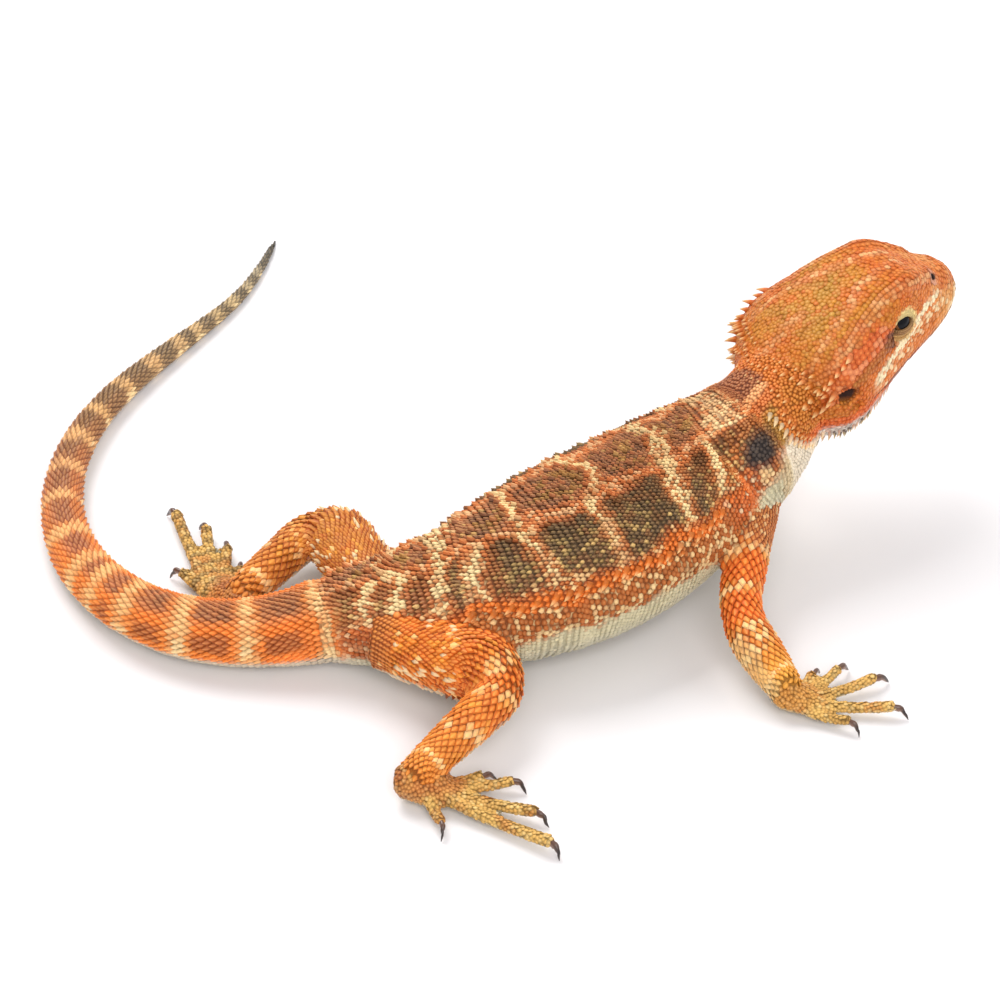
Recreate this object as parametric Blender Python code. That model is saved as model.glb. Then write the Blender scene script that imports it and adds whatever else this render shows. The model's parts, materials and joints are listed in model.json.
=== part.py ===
"""A bearded dragon at life size, as a still museum model that rests on its feet, belly and tail.

The head looks along +X, the animal's left is +Y, and the floor is z = 0. The sizes below are in
millimetres, and every mesh is made in metres. The body is swept along one spine, from the tail tip to
the neck, and parted by thin gaps into the lengths that have names. Each limb is swept along its own
bones, and each hand or foot is a sole with five digits joined to it.
"""

import math

import bmesh
import bpy
import numpy as np

MM = 0.001
GAP = 0.3  # air between neighbouring solids
FLOOR = 0.0
UP = np.array([0.0, 0.0, 1.0])

# Trunk and neck: spine centre x, y, z, half width, half height.
SPINE = {
    "tail root": (-58.0, 5.0, 10.2, 10.6, 10.4),
    "hips": (-44.0, -1.8, 12.4, 14.2, 12.6),
    "loin": (-30.0, -6.4, 14.8, 18.3, 15.0),
    "belly": (-15.0, -8.8, 17.2, 22.2, 17.4),
    "waist": (0.0, -8.4, 18.6, 24.2, 18.8),
    "ribs": (15.0, -6.4, 19.8, 24.0, 18.9),
    "chest": (29.0, -3.6, 22.0, 22.2, 17.8),
    "shoulders": (41.0, -1.8, 25.2, 19.8, 16.6),
    "neck base": (51.5, -1.0, 30.0, 17.0, 15.4),
    "nape": (60.0, 0.8, 36.2, 13.4, 14.0),
    "head joint": (67.0, 4.4, 41.6, 12.4, 13.0),
}
STEPS_PER_SPAN = 2
BODY_POINTS = 24  # corners round the trunk
WIDEST_LEVEL = 0.2  # height of the flank fold above the centre, over the half height
BACK_POWER = 2.1
BELLY_POWER = 2.3
FRINGE_DEPTH = 1.6  # fold that carries the row of side spines
FRINGE_FROM = "loin"
FRINGE_TO = "chest"

# Tail: direction in the floor plane (degrees from +X) against length along it, then its radius. It
# starts inside the pelvis and is cut back to a gap from it.
TAIL_HEADINGS = (
    (-4, 168),
    (0, 168),
    (18, 156.5),
    (45, 122),
    (74, 91.5),
    (104, 66),
    (134, 44.5),
    (156, 32.5),
    (178, 29),
    (195, 33.5),
    (208, 44),
    (230, 54),
)
TAIL_RADII = (
    (-4, 9.4),
    (0, 10.4),
    (10, 9.2),
    (22, 8.2),
    (60, 6.7),
    (105, 4.9),
    (150, 3.4),
    (195, 1.9),
    (222, 1.1),
    (230, 0.5),
)
TAIL_LENGTH = 230.0
TAIL_NODES = 5
TAIL_RINGS_PER_NODE = 8
TAIL_POINTS = 14
TAIL_FLATNESS = 0.96  # centre height over radius, so that the tail rests on a narrow flat

# Head, in its own frame: distance back from the snout, half width, top and bottom of the section, and
# how square the crown is.
HEAD_STATIONS = (
    (-0.6, 2.0, 3.0, -1.0, 2.2),
    (0.2, 4.4, 5.6, -3.2, 2.3),
    (2.6, 6.6, 8.4, -5.0, 2.5),
    (6.5, 8.7, 10.6, -6.8, 2.8),
    (12.0, 10.8, 14.4, -8.0, 3.3),
    (17.5, 12.5, 18.2, -9.2, 4.0),
    (23.0, 14.2, 19.6, -10.8, 4.0),
    (29.0, 16.4, 19.4, -12.8, 3.3),
    (35.0, 18.8, 18.2, -15.2, 2.8),
    (41.0, 20.8, 16.6, -17.4, 2.5),
    (46.5, 21.0, 14.8, -18.2, 2.4),
    (50.5, 19.2, 13.0, -17.0, 2.3),
    (54.5, 15.6, 10.8, -14.6, 2.2),
    (58.5, 10.6, 8.2, -10.8, 2.2),
    (61.0, 5.0, 4.0, -6.0, 2.2),
)
HEAD_POINTS = 26
SNOUT = (116.1, 13.8, 49.7)
HEAD_YAW = 7.5
HEAD_PITCH = 8.5
THROAT_POWER = 2.2
CHEEK_LEVEL = -1.5  # height of the widest line of the head

# Mouth: the line between the lips, as distance back from the snout and height, and where the jaw ends.
MOUTH_LINE = ((-4.0, -0.2), (0.0, -0.6), (8.0, -2.6), (20.0, -4.2), (30.0, -4.8), (37.0, -3.8))
JAW_HEEL = (44.0, -30.0)
JAW_REACH = 40.0  # half width of the block that parts the jaw from the head

EYE_CENTRE = (23.4, 10.3, 7.2)
EYE_RADIUS = 3.8
ORBIT_CENTRE = (23.4, 15.0, 7.0)  # shallow hollow of the head that the eye looks out of
ORBIT_HALF_SIZES = (5.2, 2.1, 3.8)
EAR_CENTRE = (43.8, 20.6, -1.6)
EAR_HALF_SIZES = (2.6, 2.0, 1.7)

LIMB_POINTS = 12
BONE_RINGS = 6
BEND_RINGS = 4
DIGIT_POINTS = 8
CLAW_POINTS = 6

# Limbs: joints from the root inside the body to the wrist or ankle, then the radius at each of five
# places along it (root, upper middle, elbow or knee, lower middle, wrist or ankle).
LIMBS = {
    "fore_right": {
        "joints": ((49.0, -12.0, 22.0), (28.6, -39.8, 13.5), (31.0, -60.7, 6.0)),
        "radii": (6.4, 5.2, 5.0, 5.5, 4.3),
        "names": ("upper_arm_right", "forearm_right", "hand_right"),
    },
    "fore_left": {
        "joints": ((45.0, 12.0, 22.0), (68.0, 32.0, 13.0), (87.0, 43.0, 6.0)),
        "radii": (6.4, 5.2, 5.0, 5.5, 4.3),
        "names": ("upper_arm_left", "forearm_left", "hand_left"),
    },
    "hind_right": {
        "joints": ((-49.0, -8.0, 13.0), (-28.0, -36.8, 13.7), (-61.1, -49.5, 6.6)),
        "radii": (9.4, 9.2, 6.0, 5.4, 4.3),
        "names": ("thigh_right", "shin_right", "foot_right"),
    },
    "hind_left": {
        "joints": ((-45.2, 6.0, 13.0), (-43.9, 39.3, 10.6), (-72.6, 26.0, 6.6)),
        "radii": (8.2, 8.2, 6.0, 5.4, 4.3),
        "names": ("thigh_left", "shin_left", "foot_left"),
    },
}
JOINT_BEND = 9.0  # least distance from a joint at which its round bend begins
JOINT_SLACK = 0.4  # how much wider the bend is than the limb, so that no two rings cross

# Digits, from the inner one to the outer one: how far ahead of the wrist or ankle each one starts, how
# far to the outer side, and its radius.
DIGIT_ROOTS = {
    "hand": ((3.0, -3.0, 1.35), (6.0, -2.3, 1.55), (7.0, 0.0, 1.7), (6.4, 2.4, 1.7), (3.2, 3.6, 1.55)),
    "foot": ((7.0, -3.2, 1.45), (10.0, -2.0, 1.6), (11.0, 0.4, 1.75), (10.2, 2.8, 1.85), (4.6, 3.6, 1.6)),
}

# Hands and feet: heading of the sole, then for each digit its splay to the outer side, its length on
# the floor, and how far its claw turns to the outer side.
SOLES = {
    "hand_right": {
        "heading": -20.0,
        "digits": ((-48, 7.0, 0), (-40, 10.4, 10), (-19, 15.8, 5), (8, 18.4, 36), (27, 11.4, 44)),
    },
    "hand_left": {
        "heading": 22.0,
        "digits": ((-46, 7.4, 0), (-28, 11.2, 5), (-6, 15.8, 5), (14, 18.2, 10), (40, 11.6, 20)),
    },
    "foot_right": {
        "heading": -34.0,
        "digits": ((-24, 8.6, 0), (-17, 12.8, 60), (9, 18.0, 45), (22, 25.2, 55), (58, 6.6, 40)),
    },
    "foot_left": {
        "heading": 101.6,
        "digits": ((-44, 6.4, 20), (-37, 12.6, 40), (-28, 20.8, 60), (-18, 29.8, 50), (4, 14.4, 55)),
    },
}
SOLE_SHAPES = {
    # distance ahead of the wrist or ankle, centre height, half width, half height
    "hand": (
        (-3.6, 5.6, 2.4, 2.4),
        (-2.0, 5.2, 3.7, 3.8),
        (1.5, 3.8, 4.3, 3.9),
        (5.0, 2.9, 4.6, 3.0),
        (8.0, 2.7, 3.2, 2.0),
    ),
    "foot": (
        (-4.2, 6.0, 2.6, 2.6),
        (-2.6, 5.4, 4.0, 4.4),
        (2.0, 4.2, 4.5, 4.3),
        (7.0, 3.2, 4.4, 3.3),
        (11.5, 2.7, 3.4, 2.2),
    ),
}
SOLE_POINTS = 12
DIGIT_ROOT_HEIGHT = 3.2
DIGIT_SAG_HEIGHT = 1.7
DIGIT_TIP_HEIGHT = 3.3
DIGIT_SWELLING = (1.0, 0.98, 0.93, 0.92, 0.95)  # radius along the digit over its radius at the root
DIGIT_TIP_SWELLING = 0.62
DIGIT_TIP_LENGTH = 0.5  # of the rounded end, over the radius
CLAW_LEAD = 0.5  # air between the digit's sloping end and the claw's root
CLAW_RISE = 0.35  # height of the claw's root above the digit's centre line
CLAW_ARCH_RISE = 0.3
CLAW_REACH = 2.1
CLAW_ARCH_REACH = 0.7  # straight part ahead of the digit, over the claw's reach
CLAW_TIP_LEAD = 0.35  # how far the tip lies ahead of its turn, over the claw's reach
CLAW_TIP_HEIGHT = 0.3
CLAW_TIP_RADIUS = 0.1
CLAW_ROOT_INSET = 0.5  # taken off the digit's radius before the next factor
CLAW_ROOT_SIZE = 0.8
CLAW_DEPTH = 1.15  # height over width
CLAW_RINGS = 4

COLOURS = {
    # base colour (sRGB), roughness
    "orange hide": ("#C8662B", 0.6),
    "brown hide": ("#8A5636", 0.65),
    "olive hide": ("#A9853C", 0.6),
    "eye": ("#1C130D", 0.08),
    "claw": ("#2A1B14", 0.35),
}


def linear(hex_colour):
    """An sRGB hex colour as the linear RGBA that a shader takes."""
    channels = [int(hex_colour[i : i + 2], 16) / 255 for i in (1, 3, 5)]
    return (*[c / 12.92 if c <= 0.04045 else ((c + 0.055) / 1.055) ** 2.4 for c in channels], 1.0)


def make_material(name, finish):
    """A plain material of the named finish."""
    hex_colour, roughness = COLOURS[finish]
    material = bpy.data.materials.new(name)
    material.use_nodes = True
    shader = material.node_tree.nodes["Principled BSDF"]
    shader.inputs["Base Color"].default_value = linear(hex_colour)
    shader.inputs["Roughness"].default_value = roughness
    shader.inputs["Metallic"].default_value = 0.0
    return material


def spline(knots, steps):
    """A Catmull-Rom curve through rows of numbers, with this many steps between two knots."""
    knots = np.asarray(knots, float)
    first = 2 * knots[0] - knots[1]
    last = 2 * knots[-1] - knots[-2]
    padded = np.vstack([first, knots, last])
    rows = []
    for i in range(len(knots) - 1):
        p0, p1, p2, p3 = padded[i : i + 4]
        for step in range(steps):
            t = step / steps
            rows.append(
                0.5
                * (
                    2 * p1
                    + (p2 - p0) * t
                    + (2 * p0 - 5 * p1 + 4 * p2 - p3) * t**2
                    + (3 * p1 - p0 - 3 * p2 + p3) * t**3
                )
            )
    rows.append(knots[-1])
    return np.array(rows)


def ring(half_width, top, bottom, level, top_power, bottom_power, count):
    """Sideways and upward places round a section that is widest at the given level."""
    angles = 2 * np.pi * np.arange(count) / count
    across, along = np.cos(angles), np.sin(angles)
    power = np.where(along >= 0, top_power, bottom_power)
    side = np.sign(across) * np.abs(across) ** (2 / power) * half_width
    reach = np.where(along >= 0, top - level, level - bottom)
    up = level + np.sign(along) * np.abs(along) ** (2 / power) * reach
    return side, up


def round_ring(half_width, half_height, count):
    """Places round an ellipse."""
    return ring(half_width, half_height, -half_height, 0.0, 2.0, 2.0, count)


def floor_turn(degrees):
    """Unit vector in the floor plane at this angle from +X."""
    return np.array([math.cos(math.radians(degrees)), math.sin(math.radians(degrees)), 0.0])


def frames(centres):
    """Unit vectors to the left of and above a path, at each of its points."""
    ahead = np.gradient(centres, axis=0)
    ahead /= np.linalg.norm(ahead, axis=1, keepdims=True)
    left = np.cross((0.0, 0.0, 1.0), ahead)
    left /= np.linalg.norm(left, axis=1, keepdims=True)
    return left, np.cross(ahead, left), ahead


def sweep(centres, sections):
    """Rings of points: each section set square to the path."""
    centres = np.asarray(centres, float)
    left, up, _ = frames(centres)
    rings = []
    for centre, to_left, to_top, (side, height) in zip(centres, left, up, sections):
        rings.append(centre + side[:, None] * to_left + height[:, None] * to_top)
    return rings


def add_loft(name, rings, collection, material=None, on_floor=False):
    """A closed object whose surface runs through the rings, with a flat cap on each end."""
    shape = bmesh.new()
    rows = []
    for points in rings:
        points = np.array(points, float)
        if on_floor:
            points[:, 2] = np.maximum(points[:, 2], FLOOR)
        rows.append([shape.verts.new(point * MM) for point in points])
    count = len(rows[0])
    for row, following in zip(rows, rows[1:]):
        for k in range(count):
            after = (k + 1) % count
            shape.faces.new((row[k], row[after], following[after], following[k]))
    shape.faces.new(rows[0][::-1])
    shape.faces.new(rows[-1])
    return add_object(name, shape, collection, material)


def add_object(name, shape, collection, material=None):
    """An object in the collection that holds the bmesh's faces."""
    mesh = bpy.data.meshes.new(name)
    shape.to_mesh(mesh)
    shape.free()
    mesh.shade_smooth()
    mesh.set_sharp_from_angle(angle=math.radians(50))
    made = bpy.data.objects.new(name, mesh)
    collection.objects.link(made)
    if material:
        mesh.materials.append(material)
    return made


def add_ball(name, centre, half_sizes, collection, material=None, subdivisions=2):
    """An ellipsoid made from an icosphere."""
    shape = bmesh.new()
    bmesh.ops.create_icosphere(shape, subdivisions=subdivisions, radius=1.0)
    for vert in shape.verts:
        vert.co = (np.array(vert.co) * half_sizes + centre) * MM
    return add_object(name, shape, collection, material)


def hide_cutter(cutter):
    """Leaves a helper out of the model."""
    cutter.hide_render = True
    cutter.display_type = "WIRE"


def cut(target, cutter, operation="DIFFERENCE"):
    """Adds a Boolean between two closed objects."""
    hide_cutter(cutter)
    boolean = target.modifiers.new(f"{operation.lower()} {cutter.name}", "BOOLEAN")
    boolean.operation = operation
    boolean.object = cutter
    boolean.solver = "EXACT"


# Trunk, neck and tail


def spine_rows():
    """Centre, half width and half height at each ring of the trunk and neck, from the tail root on."""
    return spline(list(SPINE.values()), STEPS_PER_SPAN)


def station(name):
    """The row number of a named place along the spine."""
    return list(SPINE).index(name) * STEPS_PER_SPAN


def body_section(row, number, grow):
    """The section of the trunk or neck at one row of the spine."""
    half_width, half_height = row[3] + grow, row[4] + grow
    level = WIDEST_LEVEL * half_height
    side, up = ring(half_width, half_height, -half_height, level, BACK_POWER, BELLY_POWER, BODY_POINTS)
    start, end = station(FRINGE_FROM), station(FRINGE_TO)
    if start <= number <= end:
        fold = FRINGE_DEPTH * math.sin(math.pi * (number - start + 1) / (end - start + 2)) ** 0.5
        side[0] += fold
        side[BODY_POINTS // 2] -= fold
    return side, up


def body_rings(start, end, grow=0.0):
    """Rings from one named place on the spine to another, short of each by half a gap unless grown."""
    rows = spine_rows()
    first, last = station(start), station(end)
    centres = rows[:, :3]
    left, up, ahead = frames(centres)
    pull = GAP / 2 if grow == 0 else -grow
    centres[first] += ahead[first] * pull
    centres[last] -= ahead[last] * pull
    rings = []
    for number in range(first, last + 1):
        side, height = body_section(rows[number], number, grow)
        rings.append(centres[number] + side[:, None] * left[number] + height[:, None] * up[number])
    return rings


def tail_line(distances):
    """Centres of the tail at these distances from its root."""
    fine = np.linspace(TAIL_HEADINGS[0][0], TAIL_LENGTH, 400)
    heading = np.radians(smooth_lookup(TAIL_HEADINGS, fine))
    step = fine[1] - fine[0]
    run = np.cumsum(np.column_stack([np.cos(heading), np.sin(heading)]) * step, axis=0)
    x, y = (
        root + np.interp(distances, fine, axis) - np.interp(0, fine, axis)
        for root, axis in zip(SPINE["tail root"], run.T)
    )
    radius = smooth_lookup(TAIL_RADII, distances)
    return np.column_stack([x, y, radius * TAIL_FLATNESS]), radius


def smooth_lookup(table, places):
    """A value read from a table of (place, value) rows through a smooth curve."""
    curve = spline(table, 12)
    return np.interp(places, curve[:, 0], curve[:, 1])


def tail_rings(start, end):
    """Upright rings of one length of the tail, square to its heading at each place."""
    distances = np.linspace(start, end, TAIL_RINGS_PER_NODE)
    rings = []
    for centre, radius, heading in zip(*tail_line(distances), smooth_lookup(TAIL_HEADINGS, distances)):
        side, height = round_ring(radius, radius, TAIL_POINTS)
        rings.append(centre + side[:, None] * floor_turn(heading + 90) + height[:, None] * UP)
    return rings


def make_body(parts, cutters):
    """Neck, trunk, pelvis and the lengths of the tail."""
    for name, start, end, finish in (
        ("pelvis", "tail root", "loin", "brown hide"),
        ("trunk", "loin", "neck base", "brown hide"),
        ("neck", "neck base", "head joint", "orange hide"),
    ):
        made = add_loft(name, body_rings(start, end), parts, make_material(name, finish), on_floor=True)
        if name == "neck":
            cut(made, add_loft("head_room", head_rings(GAP), cutters))
    length = TAIL_LENGTH / TAIL_NODES
    for number in range(TAIL_NODES):
        start = number * length + GAP / 2 if number else TAIL_HEADINGS[0][0]
        end = (number + 1) * length - (GAP / 2 if number < TAIL_NODES - 1 else 0)
        name = f"tail_{number + 1}"
        rings = tail_rings(start, end)
        made = add_loft(name, rings, parts, make_material(name, "brown hide"), on_floor=True)
        if number == 0:
            cut(made, cutters.objects["body_room"])


# Head


def head_place(points):
    """Points of the head's own frame (back, left, up) in the model's frame."""
    yaw, pitch = math.radians(HEAD_YAW), math.radians(HEAD_PITCH)
    ahead = np.array([math.cos(pitch) * math.cos(yaw), math.cos(pitch) * math.sin(yaw), math.sin(pitch)])
    left = np.array([-math.sin(yaw), math.cos(yaw), 0.0])
    up = np.cross(ahead, left)
    points = np.asarray(points, float)
    return np.array(SNOUT) - points[..., :1] * ahead + points[..., 1:2] * left + points[..., 2:3] * up


def head_rings(grow=0.0):
    """Rings of the head from the back to the snout."""
    rings = []
    for number, (back, half_width, top, bottom, crown_power) in enumerate(HEAD_STATIONS):
        level = CHEEK_LEVEL * min(1.0, back / 10)
        side, up = ring(
            half_width + grow, top + grow, bottom - grow, level, crown_power, THROAT_POWER, HEAD_POINTS
        )
        end = {0: -grow, len(HEAD_STATIONS) - 1: grow}.get(number, 0.0)
        rings.append(head_place(np.column_stack([np.full(len(side), back + end), side, up])))
    return rings[::-1]


def mouth_block(name, grow, cutters):
    """A block whose upper face is the mouth line and whose back runs down behind the jaw."""
    line = spline(MOUTH_LINE, 2) + (0.0, grow)
    heel = np.array(JAW_HEEL) + (grow, 0.0)
    line[-1, 0] += grow
    outline = [*line, heel, (MOUTH_LINE[0][0], JAW_HEEL[1])]
    sides = [
        head_place([(back, reach, height) for back, height in outline]) for reach in (-JAW_REACH, JAW_REACH)
    ]
    return add_loft(name, sides[::-1], cutters)


def make_head(parts, cutters):
    """Head, lower jaw and eyes."""
    head = add_loft("head", head_rings(), parts, make_material("head", "orange hide"))
    jaw = add_loft("lower_jaw", head_rings(), parts, make_material("lower_jaw", "orange hide"))
    cut(head, mouth_block("jaw_room", GAP, cutters))
    cut(jaw, mouth_block("jaw_part", 0.0, cutters), "INTERSECT")
    for side, sign in (("left", 1), ("right", -1)):
        eye_place, orbit_place, ear_place = (
            head_place(np.array(centre) * (1, sign, 1)) for centre in (EYE_CENTRE, ORBIT_CENTRE, EAR_CENTRE)
        )
        radius = np.full(3, EYE_RADIUS)
        add_ball(f"eye_{side}", eye_place, radius, parts, make_material(f"eye_{side}", "eye"))
        cut(head, add_ball(f"orbit_{side}", orbit_place, ORBIT_HALF_SIZES, cutters))
        cut(head, add_ball(f"socket_{side}", eye_place, radius + GAP, cutters))
        cut(head, add_ball(f"ear_{side}", ear_place, EAR_HALF_SIZES, cutters, subdivisions=1))


# Limbs


def bent_path(joints, least_radius):
    """Points along two bones joined by a round bend of at least this radius, and where its middle is."""
    root, joint, end = (np.array(point, float) for point in joints)
    to_root = (root - joint) / np.linalg.norm(root - joint)
    to_end = (end - joint) / np.linalg.norm(end - joint)
    half_angle = math.acos(np.dot(to_root, to_end)) / 2
    reach = max(JOINT_BEND, least_radius / math.tan(half_angle))
    bend_start, bend_end = joint + to_root * reach, joint + to_end * reach
    inner = (to_root + to_end) / np.linalg.norm(to_root + to_end)
    pivot = joint + inner * reach / math.cos(half_angle)
    sweep_angle = math.pi - 2 * half_angle
    turn = []
    for t in np.linspace(0, 1, 2 * BEND_RINGS + 1):
        spoke = math.sin((1 - t) * sweep_angle) * (bend_start - pivot)
        spoke += math.sin(t * sweep_angle) * (bend_end - pivot)
        turn.append(pivot + spoke / math.sin(sweep_angle))
    upper = [root + (bend_start - root) * t for t in np.linspace(0, 1, BONE_RINGS)[:-1]]
    lower = [bend_end + (end - bend_end) * t for t in np.linspace(0, 1, BONE_RINGS)[1:]]
    return np.array([*upper, *turn, *lower]), len(upper) + BEND_RINGS


def limb_rings(joints, radii):
    """Rings of the upper and the lower segment of a limb, with a gap between them."""
    centres, middle = bent_path(joints, radii[2] + JOINT_SLACK)
    places = np.concatenate([np.linspace(0, 2, middle + 1), np.linspace(2, 4, len(centres) - middle)[1:]])
    sizes = smooth_lookup(tuple(enumerate(radii)), places)
    left, up, ahead = frames(centres)
    rings = []
    for centre, to_left, to_top, radius in zip(centres, left, up, sizes):
        side, height = round_ring(radius, radius, LIMB_POINTS)
        rings.append(centre + side[:, None] * to_left + height[:, None] * to_top)
    upper = [*rings[:middle], rings[middle] - ahead[middle] * GAP / 2]
    lower = [rings[middle] + ahead[middle] * GAP / 2, *rings[middle + 1 :]]
    return upper, lower


def sole_rings(kind, origin, heading, grow=0.0):
    """Rings of the palm or sole, from behind the wrist or ankle to the digits."""
    rows = SOLE_SHAPES[kind]
    ahead = floor_turn(heading)
    left = floor_turn(heading + 90)
    rings = []
    for number, (distance, height, half_width, half_height) in enumerate(rows):
        side, up = round_ring(half_width + grow, half_height + grow, SOLE_POINTS)
        end = {0: -grow, len(rows) - 1: grow}.get(number, 0.0)
        centre = origin + ahead * (distance + end) + (0.0, 0.0, height)
        rings.append(centre + side[:, None] * left + up[:, None] * UP)
    return rings


def digit_path(start, end):
    """Centre line of a digit: down towards the floor, and up again at its tip."""
    middle = (start + end) / 2
    start, middle, end = (
        np.array([*place[:2], height])
        for place, height in zip(
            (start, middle, end), (DIGIT_ROOT_HEIGHT, DIGIT_SAG_HEIGHT, DIGIT_TIP_HEIGHT)
        )
    )
    steps = np.linspace(0, 1, len(DIGIT_SWELLING))[:, None]
    return (1 - steps) ** 2 * start + 2 * steps * (1 - steps) * middle + steps**2 * end


def digit_rings(path, radius):
    """Rings of a digit, swollen a little at the tip and rounded off."""
    ahead = path[-1] - path[-2]
    ahead /= np.linalg.norm(ahead)
    tip = path[-1] + ahead * radius * DIGIT_TIP_LENGTH
    centres = np.vstack([path, tip])
    sizes = radius * np.array([*DIGIT_SWELLING, DIGIT_TIP_SWELLING])
    return sweep(centres, [round_ring(size, size, DIGIT_POINTS) for size in sizes])


def claw_rings(digit_end, ahead, toward, radius):
    """Rings of a claw that arches forward from the digit's end and down to the floor."""
    start = digit_end + ahead * CLAW_LEAD + (0.0, 0.0, CLAW_RISE)
    control = start + ahead * CLAW_REACH * CLAW_ARCH_REACH + (0.0, 0.0, CLAW_ARCH_RISE)
    tip = start + (toward + ahead * CLAW_TIP_LEAD) * CLAW_REACH
    tip[2] = CLAW_TIP_HEIGHT
    steps = np.linspace(0, 1, CLAW_RINGS)[:, None]
    path = (1 - steps) ** 2 * start + 2 * steps * (1 - steps) * control + steps**2 * tip
    root_size = (radius - CLAW_ROOT_INSET) * CLAW_ROOT_SIZE
    sizes = root_size * (1 - steps[:, 0] ** 1.5) + CLAW_TIP_RADIUS
    return sweep(path, [round_ring(size, size * CLAW_DEPTH, CLAW_POINTS) for size in sizes])


def make_sole(name, origin, parts, cutters):
    """A hand or foot: its sole and five digits as one solid, and a claw on each digit."""
    kind, side_name = name.split("_")
    outer_sign = 1 if side_name == "left" else -1
    heading = SOLES[name]["heading"]
    outer = floor_turn(heading + 90 * outer_sign)
    material = make_material(name, "olive hide")
    sole = add_loft(name, sole_rings(kind, origin, heading), parts, material, on_floor=True)
    for number, ((forward, outward, radius), (splay, length, claw_turn)) in enumerate(
        zip(DIGIT_ROOTS[kind], SOLES[name]["digits"]), start=1
    ):
        start = origin + floor_turn(heading) * forward + outer * outward
        way = floor_turn(heading + splay * outer_sign)
        rings = digit_rings(digit_path(start, start + way * length), radius)
        cut(sole, add_loft(f"{name}_digit_{number}", rings, cutters, on_floor=True), "UNION")
        toward = floor_turn(heading + (splay + claw_turn) * outer_sign)
        claw_name = f"claw_{kind}_{side_name}_{number}"
        claw = claw_rings(rings[-1].mean(axis=0), way, toward, radius)
        add_loft(claw_name, claw, parts, make_material(claw_name, "claw"), on_floor=True)


def make_limb(limb, parts, cutters):
    """One limb: upper and lower segment, and its hand or foot."""
    upper_name, lower_name, sole_name = limb["names"]
    upper, lower = limb_rings(limb["joints"], limb["radii"])
    ankle = np.array([*limb["joints"][2][:2], 0.0])
    make_sole(sole_name, ankle, parts, cutters)
    upper_part = add_loft(upper_name, upper, parts, make_material(upper_name, "orange hide"), on_floor=True)
    lower_part = add_loft(lower_name, lower, parts, make_material(lower_name, "orange hide"), on_floor=True)
    cut(upper_part, cutters.objects["body_room"])
    sole_room = sole_rings(sole_name.split("_")[0], ankle, SOLES[sole_name]["heading"], GAP)
    cut(lower_part, add_loft(f"{sole_name}_room", sole_room, cutters))


def stand_on_origin(parts, cutters):
    """Moves everything so that the middle of the model's footprint is the origin."""
    graph = bpy.context.evaluated_depsgraph_get()
    corners = []
    for made in parts.objects:
        mesh = made.evaluated_get(graph).to_mesh()
        points = np.empty(len(mesh.vertices) * 3, np.float32)
        mesh.vertices.foreach_get("co", points)
        corners.append(points.reshape(-1, 3))
    points = np.concatenate(corners)
    middle = (points.min(axis=0) + points.max(axis=0)) / 2
    stand = bpy.data.objects.new("standing_place", None)
    parts.objects.link(stand)
    stand.location = (-middle[0], -middle[1], 0.0)
    for made in [*parts.objects, *cutters.objects]:
        if made is not stand:
            made.parent = stand


def main():
    """Builds the whole animal."""
    for old in list(bpy.data.objects):
        bpy.data.objects.remove(old)
    parts = bpy.data.collections.new("bearded_dragon")
    cutters = bpy.data.collections.new("cutters")
    bpy.context.scene.collection.children.link(parts)
    bpy.context.scene.collection.children.link(cutters)
    hide_cutter(add_loft("body_room", body_rings("tail root", "nape", GAP), cutters))
    make_head(parts, cutters)
    make_body(parts, cutters)
    for limb in LIMBS.values():
        make_limb(limb, parts, cutters)
    stand_on_origin(parts, cutters)


main()
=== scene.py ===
"""A bearded dragon at life size: one hide over its flesh, with its scales, spines, eyes and claws.

Lengths are in millimetres until a mesh is made. Degrees round a guide line count from the top of the animal,
positive towards its left. Noise and hashes take a whole number as their seed, one for each use.
"""

from __future__ import annotations

import json
import logging
import math
from collections.abc import Callable
from dataclasses import dataclass
from enum import Enum
from itertools import product

import bmesh
import bpy
import numpy as np
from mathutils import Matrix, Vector
from mathutils.bvhtree import BVHTree
from mathutils.kdtree import KDTree

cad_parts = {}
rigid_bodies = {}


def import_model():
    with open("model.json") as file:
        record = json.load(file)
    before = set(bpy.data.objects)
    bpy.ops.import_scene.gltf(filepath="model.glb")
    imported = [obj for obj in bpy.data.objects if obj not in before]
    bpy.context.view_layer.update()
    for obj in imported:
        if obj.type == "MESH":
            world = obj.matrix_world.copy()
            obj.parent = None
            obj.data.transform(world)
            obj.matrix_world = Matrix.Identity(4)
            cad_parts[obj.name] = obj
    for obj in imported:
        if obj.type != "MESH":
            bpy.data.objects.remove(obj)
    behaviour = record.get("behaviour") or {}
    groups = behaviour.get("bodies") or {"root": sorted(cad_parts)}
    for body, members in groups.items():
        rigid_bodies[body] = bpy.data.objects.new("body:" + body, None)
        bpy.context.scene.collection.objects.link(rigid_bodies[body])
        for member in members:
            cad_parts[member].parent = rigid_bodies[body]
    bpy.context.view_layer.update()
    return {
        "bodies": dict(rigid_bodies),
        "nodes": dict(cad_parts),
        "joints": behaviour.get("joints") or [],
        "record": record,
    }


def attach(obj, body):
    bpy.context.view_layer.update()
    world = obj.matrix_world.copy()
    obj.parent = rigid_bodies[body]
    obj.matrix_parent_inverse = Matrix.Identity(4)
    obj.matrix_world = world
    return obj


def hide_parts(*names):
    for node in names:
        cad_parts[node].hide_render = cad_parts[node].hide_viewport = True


MM = 0.001
UP = np.array([0.0, 0.0, 1.0])
SEED = 7
log = logging.getLogger("bearded_dragon")

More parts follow.
